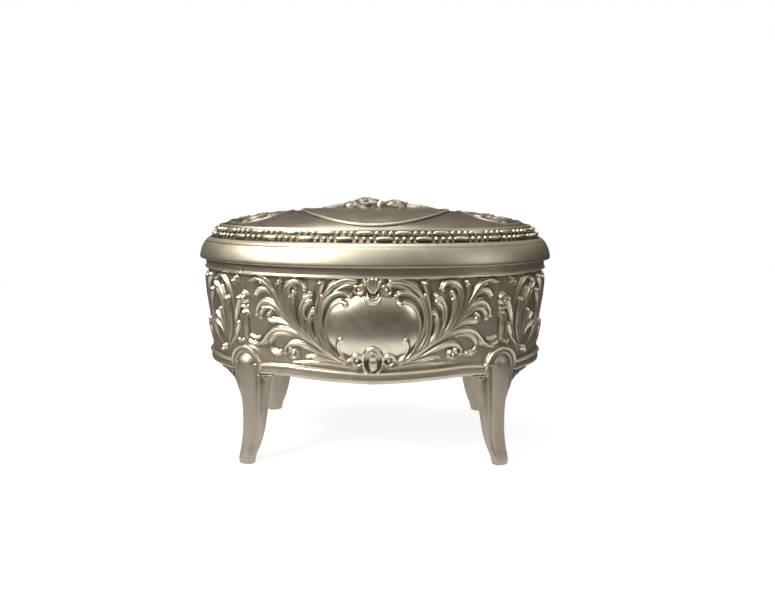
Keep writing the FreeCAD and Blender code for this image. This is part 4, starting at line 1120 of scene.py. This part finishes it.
def velvet_pad(name, node_name, body, rest_side):
    """A pad swollen by cloth simulation, then pressed flat on the side that it rests on."""
    low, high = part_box(node_name)
    pad, middle, half = pad_blank(name, low, high)
    remesh = pad.modifiers.new("remesh", "REMESH")
    remesh.mode, remesh.use_smooth_shade = "VOXEL", True
    remesh.voxel_size = THIN_VOXEL if half.z < 0.001 else THICK_VOXEL
    bpy.context.view_layer.update()
    pad.data = baked(pad)
    pad.modifiers.clear()
    start = swollen = corners_of(pad.data)
    cloth = pad.modifiers.new("cloth", "CLOTH")
    cloth.settings.use_pressure, cloth.settings.uniform_pressure_force = True, PRESSURE
    cloth.settings.effector_weights.gravity = 0.0
    for frame_number in range(1, CLOTH_FRAMES + 1):
        bpy.context.scene.frame_set(frame_number)
    swollen = corners_of(baked(pad))
    pad.modifiers.clear()
    bpy.context.scene.frame_set(1)
    step = swollen - start
    reach = np.linalg.norm(step, axis=1, keepdims=True)
    shown = (start + step * np.minimum(1.0, MOST_SWOLLEN / np.maximum(reach, 1e-9))) / PAD_SCALE
    share = np.hypot(shown[:, 0] / half.x, shown[:, 1] / half.y)
    shown[:, :2] *= PAD_FILLS / share.max()
    share *= PAD_FILLS / share.max()
    shown[:, 2] *= half.z / np.abs(shown[:, 2]).max()
    crown = half.z * (EDGE_THICKNESS + (1 - EDGE_THICKNESS) * np.clip(1 - share**4, 0, 1) ** 0.5)
    soft_side = shown[:, 2] * -rest_side > 0
    shown[:, 2] = np.where(soft_side, np.clip(shown[:, 2], -crown, crown), rest_side * half.z)
    pad.data.vertices.foreach_set("co", (shown + np.array(middle)).ravel())
    smooth = pad.modifiers.new("smooth", "SUBSURF")
    smooth.levels = smooth.render_levels = 1
    pad.data = smoothed(baked(pad))
    pad.modifiers.clear()
    pad.data.materials.append(VELVET)
    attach(pad, body)
    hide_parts(node_name)
    return pad


velvet_pad("velvet_floor_pad", "floor_pad", "box", -1)
velvet_pad("velvet_lid_pad", "lid_pad", "lid", 1)

# -------------------- floor and cards
# The floor is a thin sheet of white metal let in on the ledge; cards stiffen the pads. They are
# cut flat, and hardly show once the pads are in.

SHEET_PLATE = plated("floor sheet", (0.36, 0.335, 0.29), (0.5, 0.47, 0.42), (0.16, 0.14, 0.12), 0.4, 0.5,
                     pits=0.8)


def card_stock(name, colour):
    """Grey pulp board, faintly fibrous."""
    material, tree, shader = new_material(name)
    fibres = noise(tree, 1800.0, 4.0, (1.0, 0.2, 1.0))
    shade = mixed(tree, spread(tree, fibres, 0.3, 0.7), colour, darker(colour, 0.72))
    feed(tree, shader, {"Base Color": shade, "Roughness": 0.88, "Normal": bump(tree, fibres, 0.3, 0.0001)})
    return material


def coat(name, material):
    """Give a solid that stays as it is its material."""
    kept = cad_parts[name]
    kept.data.materials.clear()
    kept.data.materials.append(material)


CARD = card_stock("card", (0.38, 0.33, 0.27))
coat("floor_plate", SHEET_PLATE)
coat("floor_card", CARD)
coat("lid_card", CARD)

# -------------------- hinge
# Two strips of drawn brass with a riveted steel pin: the body strip is soldered to the band at
# the back and carries the outer knuckles, and the lid's strip carries the middle one and the stop.


def drawn_metal(name, colour, dark, rough, along):
    """Drawn strip or wire, with faint lines along it and tarnish in patches."""
    material, tree, shader = new_material(name)
    lines = noise(tree, 2600.0, 2.0, along)
    patches = spread(tree, noise(tree, 300.0, 4.0), 0.48, 0.72, 0.0, 0.7)
    feed(tree, shader, {
        "Base Color": mixed(tree, patches, colour, dark), "Metallic": 1.0,
        "Roughness": spread(tree, lines, 0.2, 0.8, rough, rough + 0.16),
        "Normal": bump(tree, lines, 0.25, 0.00005)})
    return material


BRASS = drawn_metal("hinge brass", (0.66, 0.52, 0.30), (0.24, 0.17, 0.09), 0.3, (0.06, 1.0, 1.0))
STEEL = drawn_metal("pin steel", (0.52, 0.51, 0.49), (0.22, 0.19, 0.16), 0.28, (1.0, 0.3, 0.3))
coat("hinge_body_leaf", BRASS)
coat("hinge_lid_leaf", BRASS)
coat("hinge_pin", STEEL)

# -------------------- floor, light and camera
# A white table that fades into a white surround, under broad soft lights from above and the left.
# A dark cloth lies round it, out of the camera's sight, so that the metal has something to mirror.


def flat_ring(name, inner, outer, height):
    """A flat ring of quads round the origin."""
    turns = np.linspace(0.0, 2 * math.pi, 97)[:-1]
    corners = [(r * math.cos(a), r * math.sin(a), height) for r in (inner, outer) for a in turns]
    count = len(turns)
    faces = [(k, k + count, (k + 1) % count + count, (k + 1) % count) for k in range(count)]
    mesh = bpy.data.meshes.new(name)
    mesh.from_pydata(corners, [], faces)
    return new_object(name, mesh)


table = flat_ring("table_top", 0.0001, 3.0, 0.0)
white, tree, shader = new_material("white table")
place = node(tree, "ShaderNodeTexCoord")["Object"]
far = node(tree, "ShaderNodeVectorMath", {0: place}, operation="LENGTH")["Value"]
fade = spread(tree, far, 0.16, 0.5)
feed(tree, shader, {
    "Base Color": mixed(tree, fade, (0.22, 0.22, 0.22), (0.0, 0.0, 0.0)),
    "Emission Color": mixed(tree, fade, (0.86, 0.86, 0.86), (1.0, 1.0, 1.0)),
    "Emission Strength": 1.0, "Roughness": 0.8, "Specular IOR Level": 0.0})
table.data.materials.append(white)
cloth = flat_ring("dark_cloth", 0.105, 2.5, 0.0004)
black, tree, shader = new_material("dark cloth")
feed(tree, shader, {"Base Color": (0.035, 0.03, 0.026, 1.0), "Roughness": 0.9})
cloth.data.materials.append(black)
cloth.visible_camera = cloth.visible_diffuse = cloth.visible_shadow = False


def soft_box(name, place, size, power, colour):
    """A rectangular lamp that faces the middle of the box."""
    lamp = bpy.data.lights.new(name, "AREA")
    lamp.shape, lamp.size, lamp.size_y = "RECTANGLE", size[0], size[1]
    lamp.energy, lamp.color = power, colour
    holder = new_object(name, lamp)
    holder.location = place
    holder.rotation_euler = (Vector((0, 0, 0.04)) - Vector(place)).to_track_quat("-Z", "Y").to_euler()


soft_box("key", (-0.36, -0.30, 0.40), (0.25, 0.25), 5.2, (1.0, 0.985, 0.96))
soft_box("over", (-0.10, 0.05, 0.70), (0.5, 0.3), 2.4, (1.0, 0.99, 0.97))
soft_box("fill", (0.50, -0.34, 0.26), (0.12, 0.30), 0.5, (1.0, 0.97, 0.93))

world = bpy.data.worlds.new("studio")
bpy.context.scene.world = world
world.use_nodes = True
tree = world.node_tree
backdrop = tree.nodes["Background"]
up = node(tree, "ShaderNodeSeparateXYZ", {0: node(tree, "ShaderNodeTexCoord")["Generated"]})["Z"]
ramp = tree.nodes.new("ShaderNodeValToRGB")
tree.links.new(up, ramp.inputs[0])
ends = ramp.color_ramp.elements
ends[0].position, ends[0].color = 0.0, (0.045, 0.036, 0.03, 1)
ends[1].position, ends[1].color = 1.0, (0.85, 0.83, 0.80, 1)
for position, colour in ((0.2, (0.09, 0.078, 0.066, 1)), (0.5, (0.38, 0.36, 0.33, 1))):
    ends.new(position).color = colour
tree.links.new(ramp.outputs["Color"], backdrop.inputs["Color"])
seen = node(tree, "ShaderNodeBackground", {"Color": (1.0, 1.0, 1.0, 1.0)})[0]
to_camera = node(tree, "ShaderNodeLightPath")["Is Camera Ray"]
both = node(tree, "ShaderNodeMixShader", {0: to_camera, 1: backdrop.outputs[0], 2: seen})[0]
feed(tree, tree.nodes["World Output"], {"Surface": both})

lens = bpy.data.cameras.new("camera")
lens.lens, lens.sensor_width = 30.19, 36.0
lens.clip_start, lens.clip_end = 0.01, 20.0
camera = new_object("camera", lens)
camera.location = (0.0041, -0.21636, 0.08251)
TILT_DOWN, ROLL = 0.16, 0.005
tilt, roll = Matrix.Rotation(math.pi / 2 - TILT_DOWN, 3, "X"), Matrix.Rotation(ROLL, 3, "Z")
camera.rotation_euler = (tilt @ roll).to_euler()
bpy.context.scene.camera = camera
bpy.context.scene.view_settings.view_transform = "Standard"

bpy.context.view_layer.update()
